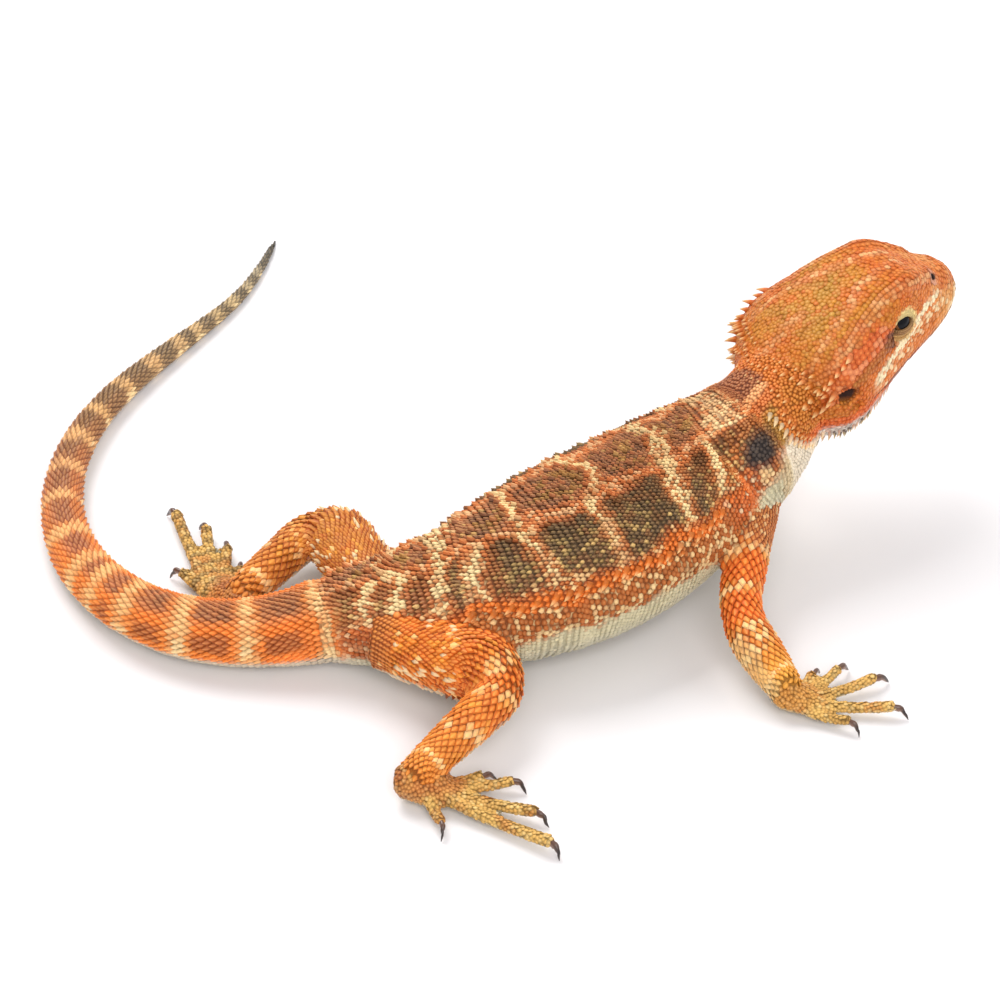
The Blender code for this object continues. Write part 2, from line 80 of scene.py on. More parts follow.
BODY_CHAIN = ("neck", "trunk", "pelvis", "tail_1", "tail_2", "tail_3", "tail_4", "tail_5")
SIDES = ("right", "left")
HEAD_LIFT = 8.5  # degrees that the snout points above the level
EYE_BACK, EYE_HEIGHT = 23.4, 7.2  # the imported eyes, behind and above the tip of the snout
LID_BACK, LID_OUT, LID_HEIGHT = EYE_BACK + 0.6, 10.3, EYE_HEIGHT + 0.4  # the middle of the lids
LIMB_NODES = {"arm": ("upper_arm_", "forearm_", "hand_"), "leg": ("thigh_", "shin_", "foot_")}
GUIDES = ("lie", "outward", "size", "patch", "spot")  # what the growing trees read at each root
TRIANGLES_TO_A_PIECE = 190_000
SPINE_TINTS = {
    "spines_pale": ("#FFE6BC", 0.55), "spines_cone": ("#F8DEB0", 0.8), "spines_dark": ("#4A342C", 0.8),
    "spines_flank": ("#E27A2C", 0.7), "spines": ("#D9702A", 0.4),
}  # colour of each group of spines, and how much of it covers the skin's own
Table = tuple[tuple[float, ...], tuple[float, ...]]
Spot = tuple[float, float, float]


class Part(Enum):
    """The regions that the hide is dressed by."""

    HEAD = 0
    NECK = 1
    TRUNK = 2
    TAIL = 3
    ARM = 4
    LEG = 5
    HAND = 6
    FOOT = 7


def unit(vectors: np.ndarray) -> np.ndarray:
    """Vectors scaled to length one, along their last axis."""
    return vectors / np.maximum(np.linalg.norm(vectors, axis=-1, keepdims=True), 1e-12)


def ease(low: float, high: float, value: np.ndarray) -> np.ndarray:
    """A soft step from 0 at low to 1 at high, which may run downwards."""
    t = np.clip((np.asarray(value, float) - low) / (high - low), 0.0, 1.0)
    return t * t * (3 - 2 * t)


def coordinates_of(mesh: bpy.types.Mesh) -> np.ndarray:
    """A mesh's vertices as rows, in metres."""
    points = np.empty(len(mesh.vertices) * 3, np.float32)
    mesh.vertices.foreach_get("co", points)
    return points.reshape(-1, 3)


def add_object(name: str, data: bpy.types.ID) -> bpy.types.Object:
    """A new object in the scene that shows a mesh, a light or a camera."""
    made = bpy.data.objects.new(name, data)
    bpy.context.scene.collection.objects.link(made)
    return made


def search_tree(points: np.ndarray) -> KDTree:
    """A balanced tree for finding the nearest of many points."""
    tree = KDTree(len(points))
    for number, point in enumerate(points):
        tree.insert(point, number)
    tree.balance()
    return tree


def triangles_of(obj: bpy.types.Object) -> np.ndarray:
    """A mesh object's triangles as an array of corners (n, 3, 3) in millimetres."""
    mesh = obj.data
    mesh.calc_loop_triangles()
    faces = np.empty(len(mesh.loop_triangles) * 3, np.int32)
    mesh.loop_triangles.foreach_get("vertices", faces)
    return coordinates_of(mesh)[faces].reshape(-1, 3, 3).astype(float) / MM


def areas_of(triangles: np.ndarray) -> np.ndarray:
    """The area of each triangle."""
    return np.linalg.norm(np.cross(triangles[:, 1] - triangles[:, 0], triangles[:, 2] - triangles[:, 0]), axis=1) / 2


def random_points(
    triangles: np.ndarray, weight: np.ndarray, count: int, rng: np.random.Generator
) -> tuple[np.ndarray, np.ndarray]:
    """Random points on triangles.

    Args:
        triangles: their corners (n, 3, 3).
        weight: how often each triangle is chosen.
        count: number of points.
        rng: the generator.

    Returns:
        The points, and the number of the triangle that each lies on.
    """
    chosen = rng.choice(len(triangles), count, p=weight / weight.sum())
    a, b = np.sqrt(rng.random(count)), rng.random(count)
    mix = np.column_stack([1 - a, a * (1 - b), a * b])
    return np.einsum("nk,nkd->nd", mix, triangles[chosen]), chosen


def scatter(triangles: np.ndarray, spacing: float, rng: np.random.Generator) -> np.ndarray:
    """Points spread evenly over triangles, about one to each square of the spacing."""
    area = areas_of(triangles)
    return random_points(triangles, area, int(area.sum() / spacing**2), rng)[0]


@dataclass
class GuideLine:
    """A line through the middle of a length of the animal, with a frame at each place on it."""

    points: np.ndarray

    def __post_init__(self) -> None:
        """Works out the distance along the line and the frames."""
        steps = np.linalg.norm(np.diff(self.points, axis=0), axis=1)
        self.places = np.concatenate([[0.0], np.cumsum(steps)])
        self.length = float(self.places[-1])
        self.ahead = unit(np.gradient(self.points, self.places, axis=0))
        self.left = unit(np.cross(UP, self.ahead))
        self.above = np.cross(self.ahead, self.left)

    def at(self, place: float) -> tuple[np.ndarray, np.ndarray, np.ndarray, np.ndarray]:
        """Centre, and unit vectors ahead, left and above, at a distance along the line."""
        values = (
            np.array([np.interp(place, self.places, column) for column in rows.T])
            for rows in (self.points, self.ahead, self.left, self.above)
        )
        centre, ahead, left, above = values
        return centre, unit(ahead), unit(left), unit(above)

    def nearest(self, points: np.ndarray, at_once: int = 4000) -> np.ndarray:
        """Distance along the line of the place on it that is nearest to each point."""
        found = np.empty(len(points))
        for start in range(0, len(points), at_once):
            block = points[start : start + at_once]
            gaps = np.linalg.norm(block[:, None] - self.points[None], axis=2)
            found[start : start + at_once] = self.places[gaps.argmin(axis=1)]
        return found


def trace(
    samples: np.ndarray,
    start: np.ndarray,
    ahead: np.ndarray,
    step: float,
    reach: float,
    least: int = 30,
    most: int = 2000,
) -> np.ndarray:
    """Follows the middle of a tube of surface points until it ends.

    Args:
        samples: points spread over the tube's surface.
        start: a point on its middle line.
        ahead: the direction to set out in.
        step: distance between the points returned.
        reach: how far from the middle line the surface may be.
        least: fewest surface points that still count as the tube.
        most: number of points at which it gives up.

    Returns:
        The middle line's points, the start included.
    """
    path = [start]
    while len(path) < most:
        guess = path[-1] + ahead * step
        offset = samples - guess
        near = (np.abs(offset @ ahead) < step) & (np.einsum("nd,nd->n", offset, offset) < reach**2)
        if near.sum() < least:
            break
        middle = samples[near].mean(axis=0)
        middle -= ahead * ((middle - guess) @ ahead)
        path.append(middle)
        behind = path[max(0, len(path) - 6)]
        ahead = unit(0.6 * ahead + 0.4 * unit(middle - behind))
    return np.array(path)


def relax_line(points: np.ndarray, rounds: int) -> np.ndarray:
    """A line with its wobble smoothed out by rounds of averaging, and its ends kept."""
    points = points.copy()
    for _ in range(rounds):
        points[1:-1] += 0.5 * ((points[:-2] + points[2:]) / 2 - points[1:-1])
    return points


def through(knots: list[np.ndarray], steps: int = 16) -> np.ndarray:
    """A Catmull-Rom curve through a few points."""
    rows = np.array([2 * knots[0] - knots[1], *knots, 2 * knots[-1] - knots[-2]])
    t = np.linspace(0, 1, steps, endpoint=False)[:, None]
    pieces = []
    for p0, p1, p2, p3 in zip(rows, rows[1:], rows[2:], rows[3:]):
        bend, twist = 2 * p0 - 5 * p1 + 4 * p2 - p3, 3 * p1 - p0 - 3 * p2 + p3
        pieces.append(0.5 * (2 * p1 + (p2 - p0) * t + bend * t**2 + twist * t**3))
    return np.vstack([*pieces, knots[-1]])


def even_line(points: np.ndarray, step: float) -> np.ndarray:
    """The same line with its points a fixed step apart."""
    places = np.concatenate([[0], np.cumsum(np.linalg.norm(np.diff(points, axis=0), axis=1))])
    wanted = np.linspace(0, places[-1], max(3, int(round(places[-1] / step)) + 1))
    return np.column_stack([np.interp(wanted, places, column) for column in points.T])


def recentred(points: np.ndarray, samples: np.ndarray, reach: float = 33.0, slab: float = 1.2) -> np.ndarray:
    """Moves each point of a line to the middle of the surface points round it.

    Args:
        points: the line.
        samples: points spread over the surface.
        reach: how far from the line the surface may be.
        slab: half the thickness of the slab, square to the line, that counts.

    Returns:
        The moved line.
    """
    ahead = unit(relax_line(unit(np.gradient(points, axis=0)), 30))
    moved = points.copy()
    for number in range(1, len(points) - 1):
        offset = samples - points[number]
        along = offset @ ahead[number]
        near = (np.abs(along) < slab) & (np.einsum("nd,nd->n", offset, offset) < reach**2)
        if near.sum() > 8:
            middle = offset[near].mean(axis=0)
            moved[number] += middle - ahead[number] * (middle @ ahead[number])
    return moved


@dataclass
class HeadFrame:
    """The head's own frame: distance back from the snout, to the left, and above."""

    snout: np.ndarray
    ahead: np.ndarray
    left: np.ndarray
    above: np.ndarray

    def inward(self, points: np.ndarray) -> np.ndarray:
        """Points in the model's frame as (back, left, above)."""
        offset = np.asarray(points, float) - self.snout
        return np.stack([-(offset @ self.ahead), offset @ self.left, offset @ self.above], axis=-1)

    def outward(self, points: np.ndarray) -> np.ndarray:
        """Points given as (back, left, above) in the model's frame."""
        return self.snout + self.turn(points)

    def turn(self, vectors: np.ndarray) -> np.ndarray:
        """Directions given as (back, left, above) in the model's frame."""
        vectors = np.asarray(vectors, float)
        return -vectors[..., :1] * self.ahead + vectors[..., 1:2] * self.left + vectors[..., 2:3] * self.above

    @staticmethod
    def folded(where: np.ndarray) -> np.ndarray:
        """Places on the head, in this frame, with its right half laid over its left one."""
        return np.abs(where * (1, 1, 0)) + where * (0, 0, 1)


@dataclass
class Skeleton:
    """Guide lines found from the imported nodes: spine, limbs, digits and the head's frame."""

    nodes: dict[str, bpy.types.Object]
    sample_spacing: float = 0.5
    step: float = 1.0
    touching: float = 0.9  # widest gap between two nodes that meet
    upper_reach: float = 15.0  # how far a limb's skin may be from its line
    lower_reach: float = 13.0
    traced: float = 0.62  # share of an upper limb that is followed before its line runs straight on
    root_steps: int = 21  # how far a limb's line is carried on into the body, in steps

    def __post_init__(self) -> None:
        """Samples every node and traces the lines."""
        rng = np.random.default_rng(SEED)
        self.triangles = {name: triangles_of(obj) for name, obj in self.nodes.items()}
        self.samples = {
            name: scatter(triangles, self.sample_spacing, rng) for name, triangles in self.triangles.items()
        }
        self.spine = self.trace_spine()
        self.limbs = {}
        for side in SIDES:
            self.limbs[f"arm_{side}"] = self.trace_limb(f"upper_arm_{side}", f"forearm_{side}")
            self.limbs[f"leg_{side}"] = self.trace_limb(f"thigh_{side}", f"shin_{side}")
        self.head = self.find_head()

    def contact(self, first: str, second: str) -> np.ndarray:
        """Samples of the first node that lie within a gap of the second one's surface."""
        tree = search_tree(self.samples[second])
        return np.array([point for point in self.samples[first] if tree.find(point)[2] < self.touching])

    def trace_spine(self) -> GuideLine:
        """The line from the front of the neck to the tail's tip."""
        meetings = [self.contact(first, second).mean(axis=0) for first, second in zip(BODY_CHAIN, BODY_CHAIN[1:])]
        front = self.contact("neck", "head").mean(axis=0)
        last = self.samples[BODY_CHAIN[-1]]
        tip = last[np.linalg.norm(last - meetings[-1], axis=1).argmax()]
        samples = np.concatenate([self.samples[name] for name in BODY_CHAIN])
        line = even_line(through([front, *meetings, tip]), self.step)
        for _ in range(4):
            line = even_line(relax_line(recentred(line, samples), 20), self.step)
        return GuideLine(line)

    def trace_limb(self, upper: str, lower: str) -> GuideLine:
        """The line of a limb from inside the body to the wrist or ankle."""
        joint_points = self.contact(upper, lower)
        joint = joint_points.mean(axis=0)
        _, _, axes = np.linalg.svd(joint_points - joint)
        outward = axes[2]
        if outward @ (self.samples[lower].mean(axis=0) - self.samples[upper].mean(axis=0)) < 0:
            outward = -outward
        down = trace(self.samples[lower], joint, outward, self.step, self.lower_reach)
        back = trace(self.samples[upper], joint, -outward, self.step, self.upper_reach)
        keep = max(6, int(len(back) * self.traced))
        back = relax_line(back[:keep], 6)
        course = unit(back[-1] - back[max(0, keep - 8)])
        run = np.arange(1, self.root_steps)[:, None] * self.step
        line = np.vstack([(back[-1] + course * run)[::-1], back[:0:-1], down])
        return GuideLine(relax_line(line, 8))

    def find_head(self) -> HeadFrame:
        """The head's frame, from the two eyes and the lift of the head."""
        left_eye, right_eye = (self.samples[f"eye_{side}"].mean(axis=0) for side in ("left", "right"))
        left = unit((left_eye - right_eye) * (1.0, 1.0, 0.0))
        level = np.cross(left, UP)
        lift = math.radians(HEAD_LIFT)
        ahead = level * math.cos(lift) + UP * math.sin(lift)
        above = np.cross(ahead, left)
        snout = (left_eye + right_eye) / 2 + ahead * EYE_BACK - above * EYE_HEIGHT
        return HeadFrame(snout, ahead, left, above)


def edges_of(faces: np.ndarray) -> np.ndarray:
    """Each edge of a mesh of quads once, as pairs of vertex numbers."""
    ends = np.concatenate([faces[:, [k, (k + 1) % faces.shape[1]]] for k in range(faces.shape[1])])
    ends = np.sort(ends, axis=1)
    return np.unique(ends[ends[:, 0] != ends[:, 1]], axis=0)


def soften(points: np.ndarray, edges: np.ndarray, weight: np.ndarray, rounds: int) -> np.ndarray:
    """Smooths a surface by pairs of a shrinking and a swelling step, which keep its volume.

    Args:
        points: the surface's vertices.
        edges: pairs of vertex numbers.
        weight: how much each vertex may move, 0 to 1.
        rounds: number of pairs of steps.

    Returns:
        The moved vertices.
    """
    points = points.copy()
    first, second = edges.T
    count = np.bincount(edges.ravel(), minlength=len(points)).astype(float)
    for _ in range(rounds):
        for factor in (0.52, -0.54):
            sums = (
                np.bincount(first, column[second], len(points)) + np.bincount(second, column[first], len(points))
                for column in points.T
            )
            points += factor * weight[:, None] * (np.stack(list(sums), axis=1) / count[:, None] - points)
    return points


def vertex_normals(points: np.ndarray, faces: np.ndarray) -> np.ndarray:
    """Unit normals at the vertices of a mesh of quads."""
    flat = np.cross(points[faces[:, 2]] - points[faces[:, 0]], points[faces[:, 3]] - points[faces[:, 1]])
    normals = np.zeros_like(points)
    for corner in faces.T:
        for axis in range(3):
            normals[:, axis] += np.bincount(corner, flat[:, axis], len(points))
    return unit(normals)


def mesh_from(name: str, points: np.ndarray, faces: np.ndarray) -> bpy.types.Object:
    """A new object at the origin from points in millimetres and faces of one size."""
    mesh = bpy.data.meshes.new(name)
    size = faces.shape[1]
    mesh.vertices.add(len(points))
    mesh.vertices.foreach_set("co", (points * MM).astype(np.float32).ravel())
    mesh.loops.add(faces.size)
    mesh.loops.foreach_set("vertex_index", faces.astype(np.int32).ravel())
    mesh.polygons.add(len(faces))
    mesh.polygons.foreach_set("loop_start", np.arange(0, faces.size, size, dtype=np.int32))
    mesh.polygons.foreach_set("use_smooth", np.ones(len(faces), bool))
    mesh.update(calc_edges=True)
    mesh.validate()
    return add_object(name, mesh)


PART_OF = {
    "head": Part.HEAD, "lower": Part.HEAD, "neck": Part.NECK, "trunk": Part.TRUNK, "pelvis": Part.TRUNK,
    "tail": Part.TAIL, "upper": Part.ARM, "forearm": Part.ARM, "thigh": Part.LEG, "shin": Part.LEG,
    "hand": Part.HAND, "foot": Part.FOOT,
}  # by the first word of a node's name


@dataclass
class Hide:
    """The one skin over all the flesh, lying inside the solids by the depth of the scales."""

    skeleton: Skeleton
    voxel: float = 0.8
    bridge: float = 0.28  # how far each solid is swollen so that neighbours join
    depth: float = 0.32  # how far the skin then lies inside the solids
    softening: int = 26  # rounds over the whole hide, then at the joins, then once it has been sunk
    join_softening: int = 45
    last_softening: int = 4
    gap_from_floor: float = 0.05
    pit_sizes: tuple[tuple[Spot, float], ...] = (((2.9, 5.0, 1.9), 2.4), ((1.0, 2.0, 0.9), 0.7))  # radii and depth
    swellings: tuple[tuple[tuple[Spot, ...], float, float], ...] = (
        # path in the head's frame, height and width: two ridges of the brow, then three creases of the neck
        (
            ((9, 6.4, 12.2), (13, 7.8, 14.2), (17, 9, 15.4), (22, 10, 16.8), (28, 10.9, 17), (34, 12.6, 15.2)),
            0.3,
            4.6,
        ),
        (((10.0, 5.6, 13.0), (14.0, 6.8, 14.4), (17.5, 8.0, 15.8), (20.0, 9.0, 16.4)), 0.9, 3.8),
        (((66.5, 9, 8), (68.5, 15, 4), (68, 20, -2), (64, 20.5, -8), (60, 15, -12.5)), -0.9, 1.9),
        (((76.0, 12.0, 3.0), (77.5, 19.0, -1.5), (74.5, 24.0, -8.0), (69.0, 22.0, -14.0)), -0.7, 1.7),
        (((80.0, 26.0, -6.0), (78.0, 28.0, -12.0), (74.0, 27.0, -17.0)), -0.6, 1.5),
    )

    def build(self) -> None:
        """Joins, remeshes, softens and sinks the skin, and labels its parts."""
        self.flesh = [name for name in self.skeleton.nodes if not name.startswith(("eye", "claw"))]
        points, faces = self.remeshed()
        labels = self.nearest_node(points)
        edges = edges_of(faces)
        parts = np.array([PART_OF[name.split("_")[0]].value for name in self.flesh])[labels]
        fine = np.isin(parts, [Part.HAND.value, Part.FOOT.value])
        head = parts == Part.HEAD.value
        weight = np.where(fine, 0.35, np.where(head, 0.7, 1.0))
        points = soften(points, edges, weight, self.softening)
        points = soften(points, edges, self.near_joins(points, edges, labels), self.join_softening)
        points -= vertex_normals(points, faces) * (self.bridge + self.depth)
        points = soften(points, edges, weight, self.last_softening)
        points[:, 2] = np.maximum(points[:, 2], self.gap_from_floor)
        self.points, self.faces = points, faces
        self.labels, self.parts = labels, parts
        self.refresh()

    def near_joins(self, points: np.ndarray, edges: np.ndarray, labels: np.ndarray) -> np.ndarray:
        """How near each point lies to where a thigh or an upper arm leaves the body, from 0 to 1."""
        limb = np.array([name.startswith(("thigh", "upper_arm")) for name in self.flesh])[labels]
        body = np.array([name.startswith(("trunk", "pelvis", "neck", "tail")) for name in self.flesh])[labels]
        first, second = edges.T
        border = edges[(limb[first] & body[second]) | (body[first] & limb[second])][:, 0]
        tree = search_tree(points[border])
        gaps = np.array([tree.find(point)[2] for point in points])
        return ease(6.5, 2.0, gaps)

    def sculpt(self, head: HeadFrame, pits: list[Spot]) -> None:
        """Sinks the pits into the skin, raises the brows and presses the creases of the neck in.

        Args:
            head: the head's frame.
            pits: the left ear and the left nostril in that frame.
        """
        where = head.inward(self.points)
        for sign in (-1, 1):
            for centre, (sizes, depth) in zip(pits, self.pit_sizes):
                gap = np.linalg.norm((where - np.array(centre) * (1, sign, 1)) / sizes, axis=1)
                inward = head.turn(np.array([0.0, -sign, 0.0]))
                self.points += depth * ease(1.15, 0.45, gap)[:, None] * inward
        folded = where * (1, 0, 1) + np.abs(where) * (0, 1, 0)
        for path, height, width in self.swellings:
            gap = gap_to_path(folded, np.array(path))
            self.points += height * ease(width, 0.2, gap)[:, None] * self.normals
        self.refresh()

    def refresh(self) -> None:
        """Works out the normals and the search tree again after the points have moved."""
        self.normals = vertex_normals(self.points, self.faces)
        self.tree = BVHTree.FromPolygons(self.points.tolist(), self.faces.tolist())

    def remeshed(self) -> tuple[np.ndarray, np.ndarray]:
        """The swollen solids as one surface of small quads."""
        whole = bmesh.new()
        for name in self.flesh:
            part = bmesh.new()
            part.from_mesh(self.skeleton.nodes[name].data)
            bmesh.ops.remove_doubles(part, verts=part.verts, dist=1e-6)
            part.normal_update()
            for vert in part.verts:
                vert.co += vert.normal * self.bridge * MM
            copy = bpy.data.meshes.new(name)
            part.to_mesh(copy)
            part.free()
            whole.from_mesh(copy)
            bpy.data.meshes.remove(copy)
        mesh = bpy.data.meshes.new("flesh")
        whole.to_mesh(mesh)
        whole.free()
        flesh = add_object("flesh", mesh)
        remesh = flesh.modifiers.new("remesh", "REMESH")
        remesh.mode = "VOXEL"
        remesh.voxel_size = self.voxel * MM
        result = bpy.data.meshes.new_from_object(flesh.evaluated_get(bpy.context.evaluated_depsgraph_get()))
        corners = np.empty(len(result.loops), np.int32)
        result.loops.foreach_get("vertex_index", corners)
        bpy.data.objects.remove(flesh)
        return coordinates_of(result).astype(float) / MM, corners.reshape(-1, 4)

    def nearest_node(self, points: np.ndarray) -> np.ndarray:
        """The number among the flesh nodes of the one nearest to each point."""
        samples = [self.skeleton.samples[name] for name in self.flesh]
        owner = np.repeat(np.arange(len(samples)), [len(rows) for rows in samples])
        tree = search_tree(np.concatenate(samples))
        return np.array([owner[tree.find(point)[1]] for point in points])


# ---------------------------------------------------------------- colour and markings


def linear(colour: str) -> np.ndarray:
    """Linear red, green and blue of an sRGB hex colour."""
    values = np.array([int(colour[k : k + 2], 16) / 255 for k in (1, 3, 5)])
    return np.where(values <= 0.04045, values / 12.92, ((values + 0.055) / 1.055) ** 2.4)


def hashed(cells: np.ndarray, seed: int) -> np.ndarray:
    """A fixed value from 0 to 1 for each whole-number cell (n, 3)."""
    mixed = cells[..., 0] * 73856093 ^ cells[..., 1] * 19349663 ^ cells[..., 2] * 83492791 ^ seed * 40503
    mixed = (mixed ^ (mixed >> 13)) * 1274126177
    return ((mixed ^ (mixed >> 16)) & 0xFFFFFF) / 0xFFFFFF


def noise(points: np.ndarray, size: float, seed: int = 0) -> np.ndarray:
    """Smooth noise from 0 to 1 with blobs of the given size in millimetres."""
    scaled = points / size
    cell = np.floor(scaled).astype(np.int64)
    part = scaled - cell
    part = part * part * (3 - 2 * part)
    total = np.zeros(len(points))
    for corner in range(8):
        step = np.array([corner & 1, corner >> 1 & 1, corner >> 2 & 1])
        weight = np.prod(np.where(step, part, 1 - part), axis=1)
        total += weight * hashed(cell + step, seed)
    return total


def gap_to_path(points: np.ndarray, path: np.ndarray) -> np.ndarray:
    """Distance from each point to a path of straight lengths, in any number of dimensions."""
    best = np.full(len(points), np.inf)
    for start, end in zip(path, path[1:]):
        course = end - start
        t = np.clip((points - start) @ course / max(course @ course, 1e-9), 0, 1)
        best = np.minimum(best, np.linalg.norm(points - start - t[:, None] * course, axis=1))
    return best


@dataclass
class Paint:
    """Layers of colour laid over many points at once."""

    colours: np.ndarray

    @classmethod
    def ground(cls, count: int, colour: str) -> Paint:
        """Every point in one colour."""
        return cls(np.tile(linear(colour), (count, 1)))

    def over(self, colour: str | np.ndarray, amount: np.ndarray) -> Paint:
        """Lays a colour over the ones there, by an amount from 0 to 1 at each point."""
        layer = linear(colour) if isinstance(colour, str) else colour
        amount = np.clip(amount, 0, 1)[:, None]
        self.colours = self.colours * (1 - amount) + layer * amount
        return self

    def mottled(self, points: np.ndarray, depth: float = 0.14) -> np.ndarray:
        """The colours, made lighter and darker by up to a depth in blobs the size of a scale."""
        return self.colours * (1 - depth + 2 * depth * noise(points, 0.9, 5))[:, None]


@dataclass
class Markings:
    """The animal's colours, as a function of the place on its body."""

    skeleton: Skeleton
    names: list[str]  # the flesh nodes, in the order of the labels
    midline: float = -19.0  # degrees round the spine at which the back's markings are centred
    per_degree: float = 0.27  # millimetres of skin to a degree round the trunk
    crossbars: tuple[tuple[float, float], ...] = (  # places along the spine, at the midline and at the flank
        (14.4, 15.6), (33.2, 36.4), (54.6, 62.0), (76.2, 79.4), (96.2, 97.8), (113.2, 108.6), (128.6, 129.0),
    )
    flank_bars: tuple[tuple[float, float], ...] = (  # the same, at the bars' upper and lower ends
        (23.5, 28.5), (36.4, 41.5), (61.8, 63.2), (79.2, 77.6),
        (89.8, 90.6), (98.2, 101.8), (106.5, 109.6), (114.4, 117.5),
    )
    tail_bands: tuple[float, ...] = (
        129.0, 146.5, 162.0, 176.5, 187.0, 195.0, 208.5, 223.5, 237.0, 250.5, 262.5, 276.0,
        288.5, 300.0, 308.0, 316.0, 324.0, 332.0, 339.5,
    )
    leg_bars: tuple[float, ...] = (40.8, 46.5, 58.0, 69.0)  # places along the limb
    arm_bars: tuple[float, ...] = (23.6, 34.5, 45.7, 50.0, 58.5)
    # the head's pale lines and openings, in its frame
    brow: tuple[Spot, ...] = (
        (10.5, 6.6, 11.6), (15.5, 8.4, 14.6), (20.9, 10.0, 16.7), (27.2, 10.9, 17.1),
        (34.3, 12.8, 15.1), (41.6, 15.1, 11.9), (47.0, 15.5, 9.5),
    )
    crown: tuple[Spot, ...] = (
        (13.0, 1.6, 15.6), (19.8, 3.1, 18.3), (30.3, 4.7, 18.6), (37.0, 8.3, 16.5),
        (43.6, 10.2, 14.0), (48.9, 11.7, 11.2), (54.5, 13.0, 8.4),
    )
    cheek: tuple[Spot, ...] = (
        (31.5, 15.4, 10.6), (36.8, 16.9, 9.8), (42.0, 17.6, 8.8), (46.4, 18.6, 6.6), (50.4, 18.6, 3.4),
    )
    temple: tuple[Spot, ...] = ((36.0, 12.0, 14.6), (42.0, 13.4, 12.2), (47.0, 14.4, 9.8), (51.0, 15.2, 7.6))
    lip: tuple[Spot, ...] = (
        (2.6, 5.9, 3.4), (6.0, 7.6, 6.0), (13.9, 10.4, 7.6), (18.5, 12.2, 5.6), (22.9, 13.6, 3.9),
        (31.9, 16.9, 1.7), (37.9, 19.1, -0.2),
    )
    nape: tuple[Spot, ...] = ((44.0, 0.0, 15.0), (48.0, 0.5, 13.7), (54.0, 0.5, 10.6), (58.0, 0.0, 9.0))
    nostril: Spot = (9.3, 6.5, 10.5)
    ear: Spot = (46.0, 19.6, 2.6)
    mouth: tuple[tuple[float, float], ...] = ((0.0, -0.6), (8.0, -2.6), (20.0, -4.2), (30.0, -4.8), (37.0, -3.8))

    def colours(self, points: np.ndarray, normals: np.ndarray, labels: np.ndarray, parts: np.ndarray) -> np.ndarray:
        """Linear colours of points on the skin.

        Args:
            points: places on the skin.
            normals: the skin's normals there.
            labels: the number of the flesh node that each point belongs to.
            parts: the values of Part.

        Returns:
            One row of red, green and blue for each point.
        """
        result = np.zeros_like(points)
        place, turn = self.around(self.skeleton.spine, points)
        axial = np.isin(parts, [Part.HEAD.value, Part.NECK.value, Part.TRUNK.value, Part.TAIL.value])
        hind = ease(119, 131, place + 3 * (noise(points, 3.0, 51) - 0.5)) * (parts != Part.HEAD.value)
        fore = self.beard_edge(points) * np.isin(parts, [Part.HEAD.value, Part.NECK.value])
        for share, dress in (
            ((1 - fore) * (1 - hind), lambda at: self.trunk(points[at], place[at], turn[at])),
            (hind, lambda at: self.tail(points[at], place[at], turn[at])),
            (fore, lambda at: self.head(points[at], normals[at])),
        ):
            chosen = axial & (share > 0)
            if chosen.any():
                result[chosen] += dress(chosen) * share[chosen, None]
        for name in self.skeleton.limbs:
            chosen = self.of_limb(labels, name)
            if chosen.any():
                result[chosen] = self.limb(name, points[chosen], normals[chosen], parts[chosen])
        return result

    def of_limb(self, labels: np.ndarray, name: str) -> np.ndarray:
        """Which labels belong to a limb, with its hand or foot."""
        kind, side = name.split("_")
        owned = [start + side for start in LIMB_NODES[kind]]
        return np.isin(labels, [number for number, label in enumerate(self.names) if label in owned])

    def beard_edge(self, points: np.ndarray) -> np.ndarray:
        """1 on the head and the beard, 0 behind the beard's rear edge."""
        where = self.skeleton.head.inward(points)
        edge = np.interp(where[:, 2], (-13, -9, -6, -1.6, 1.8, 4.4, 9), (50, 54, 59, 63.5, 64.3, 64.5, 61))
        return ease(0.5, -0.5, where[:, 0] - edge + 1.2 * (noise(points, 1.5, 52) - 0.5))

    @staticmethod
    def around(line: GuideLine, points: np.ndarray) -> tuple[np.ndarray, np.ndarray]:
        """Distance along a guide line and degrees round it, for each point."""
        place = line.nearest(points)
        centre, left, above = (
            np.column_stack([np.interp(place, line.places, column) for column in rows.T])
            for rows in (line.points, line.left, line.above)
        )
        offset = points - centre
        along = np.einsum("nd,nd->n", offset, np.cross(left, above))
        place = place + np.where((place <= 0) | (place >= line.length), along, 0)
        turn = np.degrees(np.arctan2(np.einsum("nd,nd->n", offset, left), np.einsum("nd,nd->n", offset, above)))
        return place, turn

    def near_side(self, turn: np.ndarray) -> np.ndarray:
        """Degrees round the trunk, with the far flank's folded on to the near one's."""
        far = np.interp(self.midline - turn, [0, 18, 31, 56, 90, 161], [0, 22, 31, 91, 110, 199]) + self.midline
        return np.where(turn < self.midline, far, turn)

    def net_gap(self, place: np.ndarray, side: np.ndarray) -> tuple[np.ndarray, np.ndarray]:
        """Distances to the crossbars with the flank bars, and to the line that runs lengthwise."""
        flat = np.column_stack([place, side * self.per_degree])
        bars = np.full(len(place), np.inf)
        for upper, lower in self.crossbars:
            path = np.array([[upper, self.midline], [lower, 14.0]]) * (1, self.per_degree)
            bars = np.minimum(bars, gap_to_path(flat, path))
        for upper, lower in self.flank_bars:
            path = np.array([[upper, 15.0], [(upper + lower) / 2 + 0.6, 34.0], [lower, 56.0]]) * (1, self.per_degree)
            bars = np.minimum(bars, gap_to_path(flat, path) * 1.12)
        joints = [lower for _, lower in self.crossbars]
        line: list[tuple[float, float]] = [(-6.0, 15.0), (8.0, 15.0)]
        for first, second in zip(joints, joints[1:]):
            line += [(first, 16.0), (first + 0.3 * (second - first), 8.0), (first + 0.62 * (second - first), 4.0)]
        line.append((joints[-1], 12.0))
        return bars, gap_to_path(flat, np.array(line) * (1, self.per_degree))

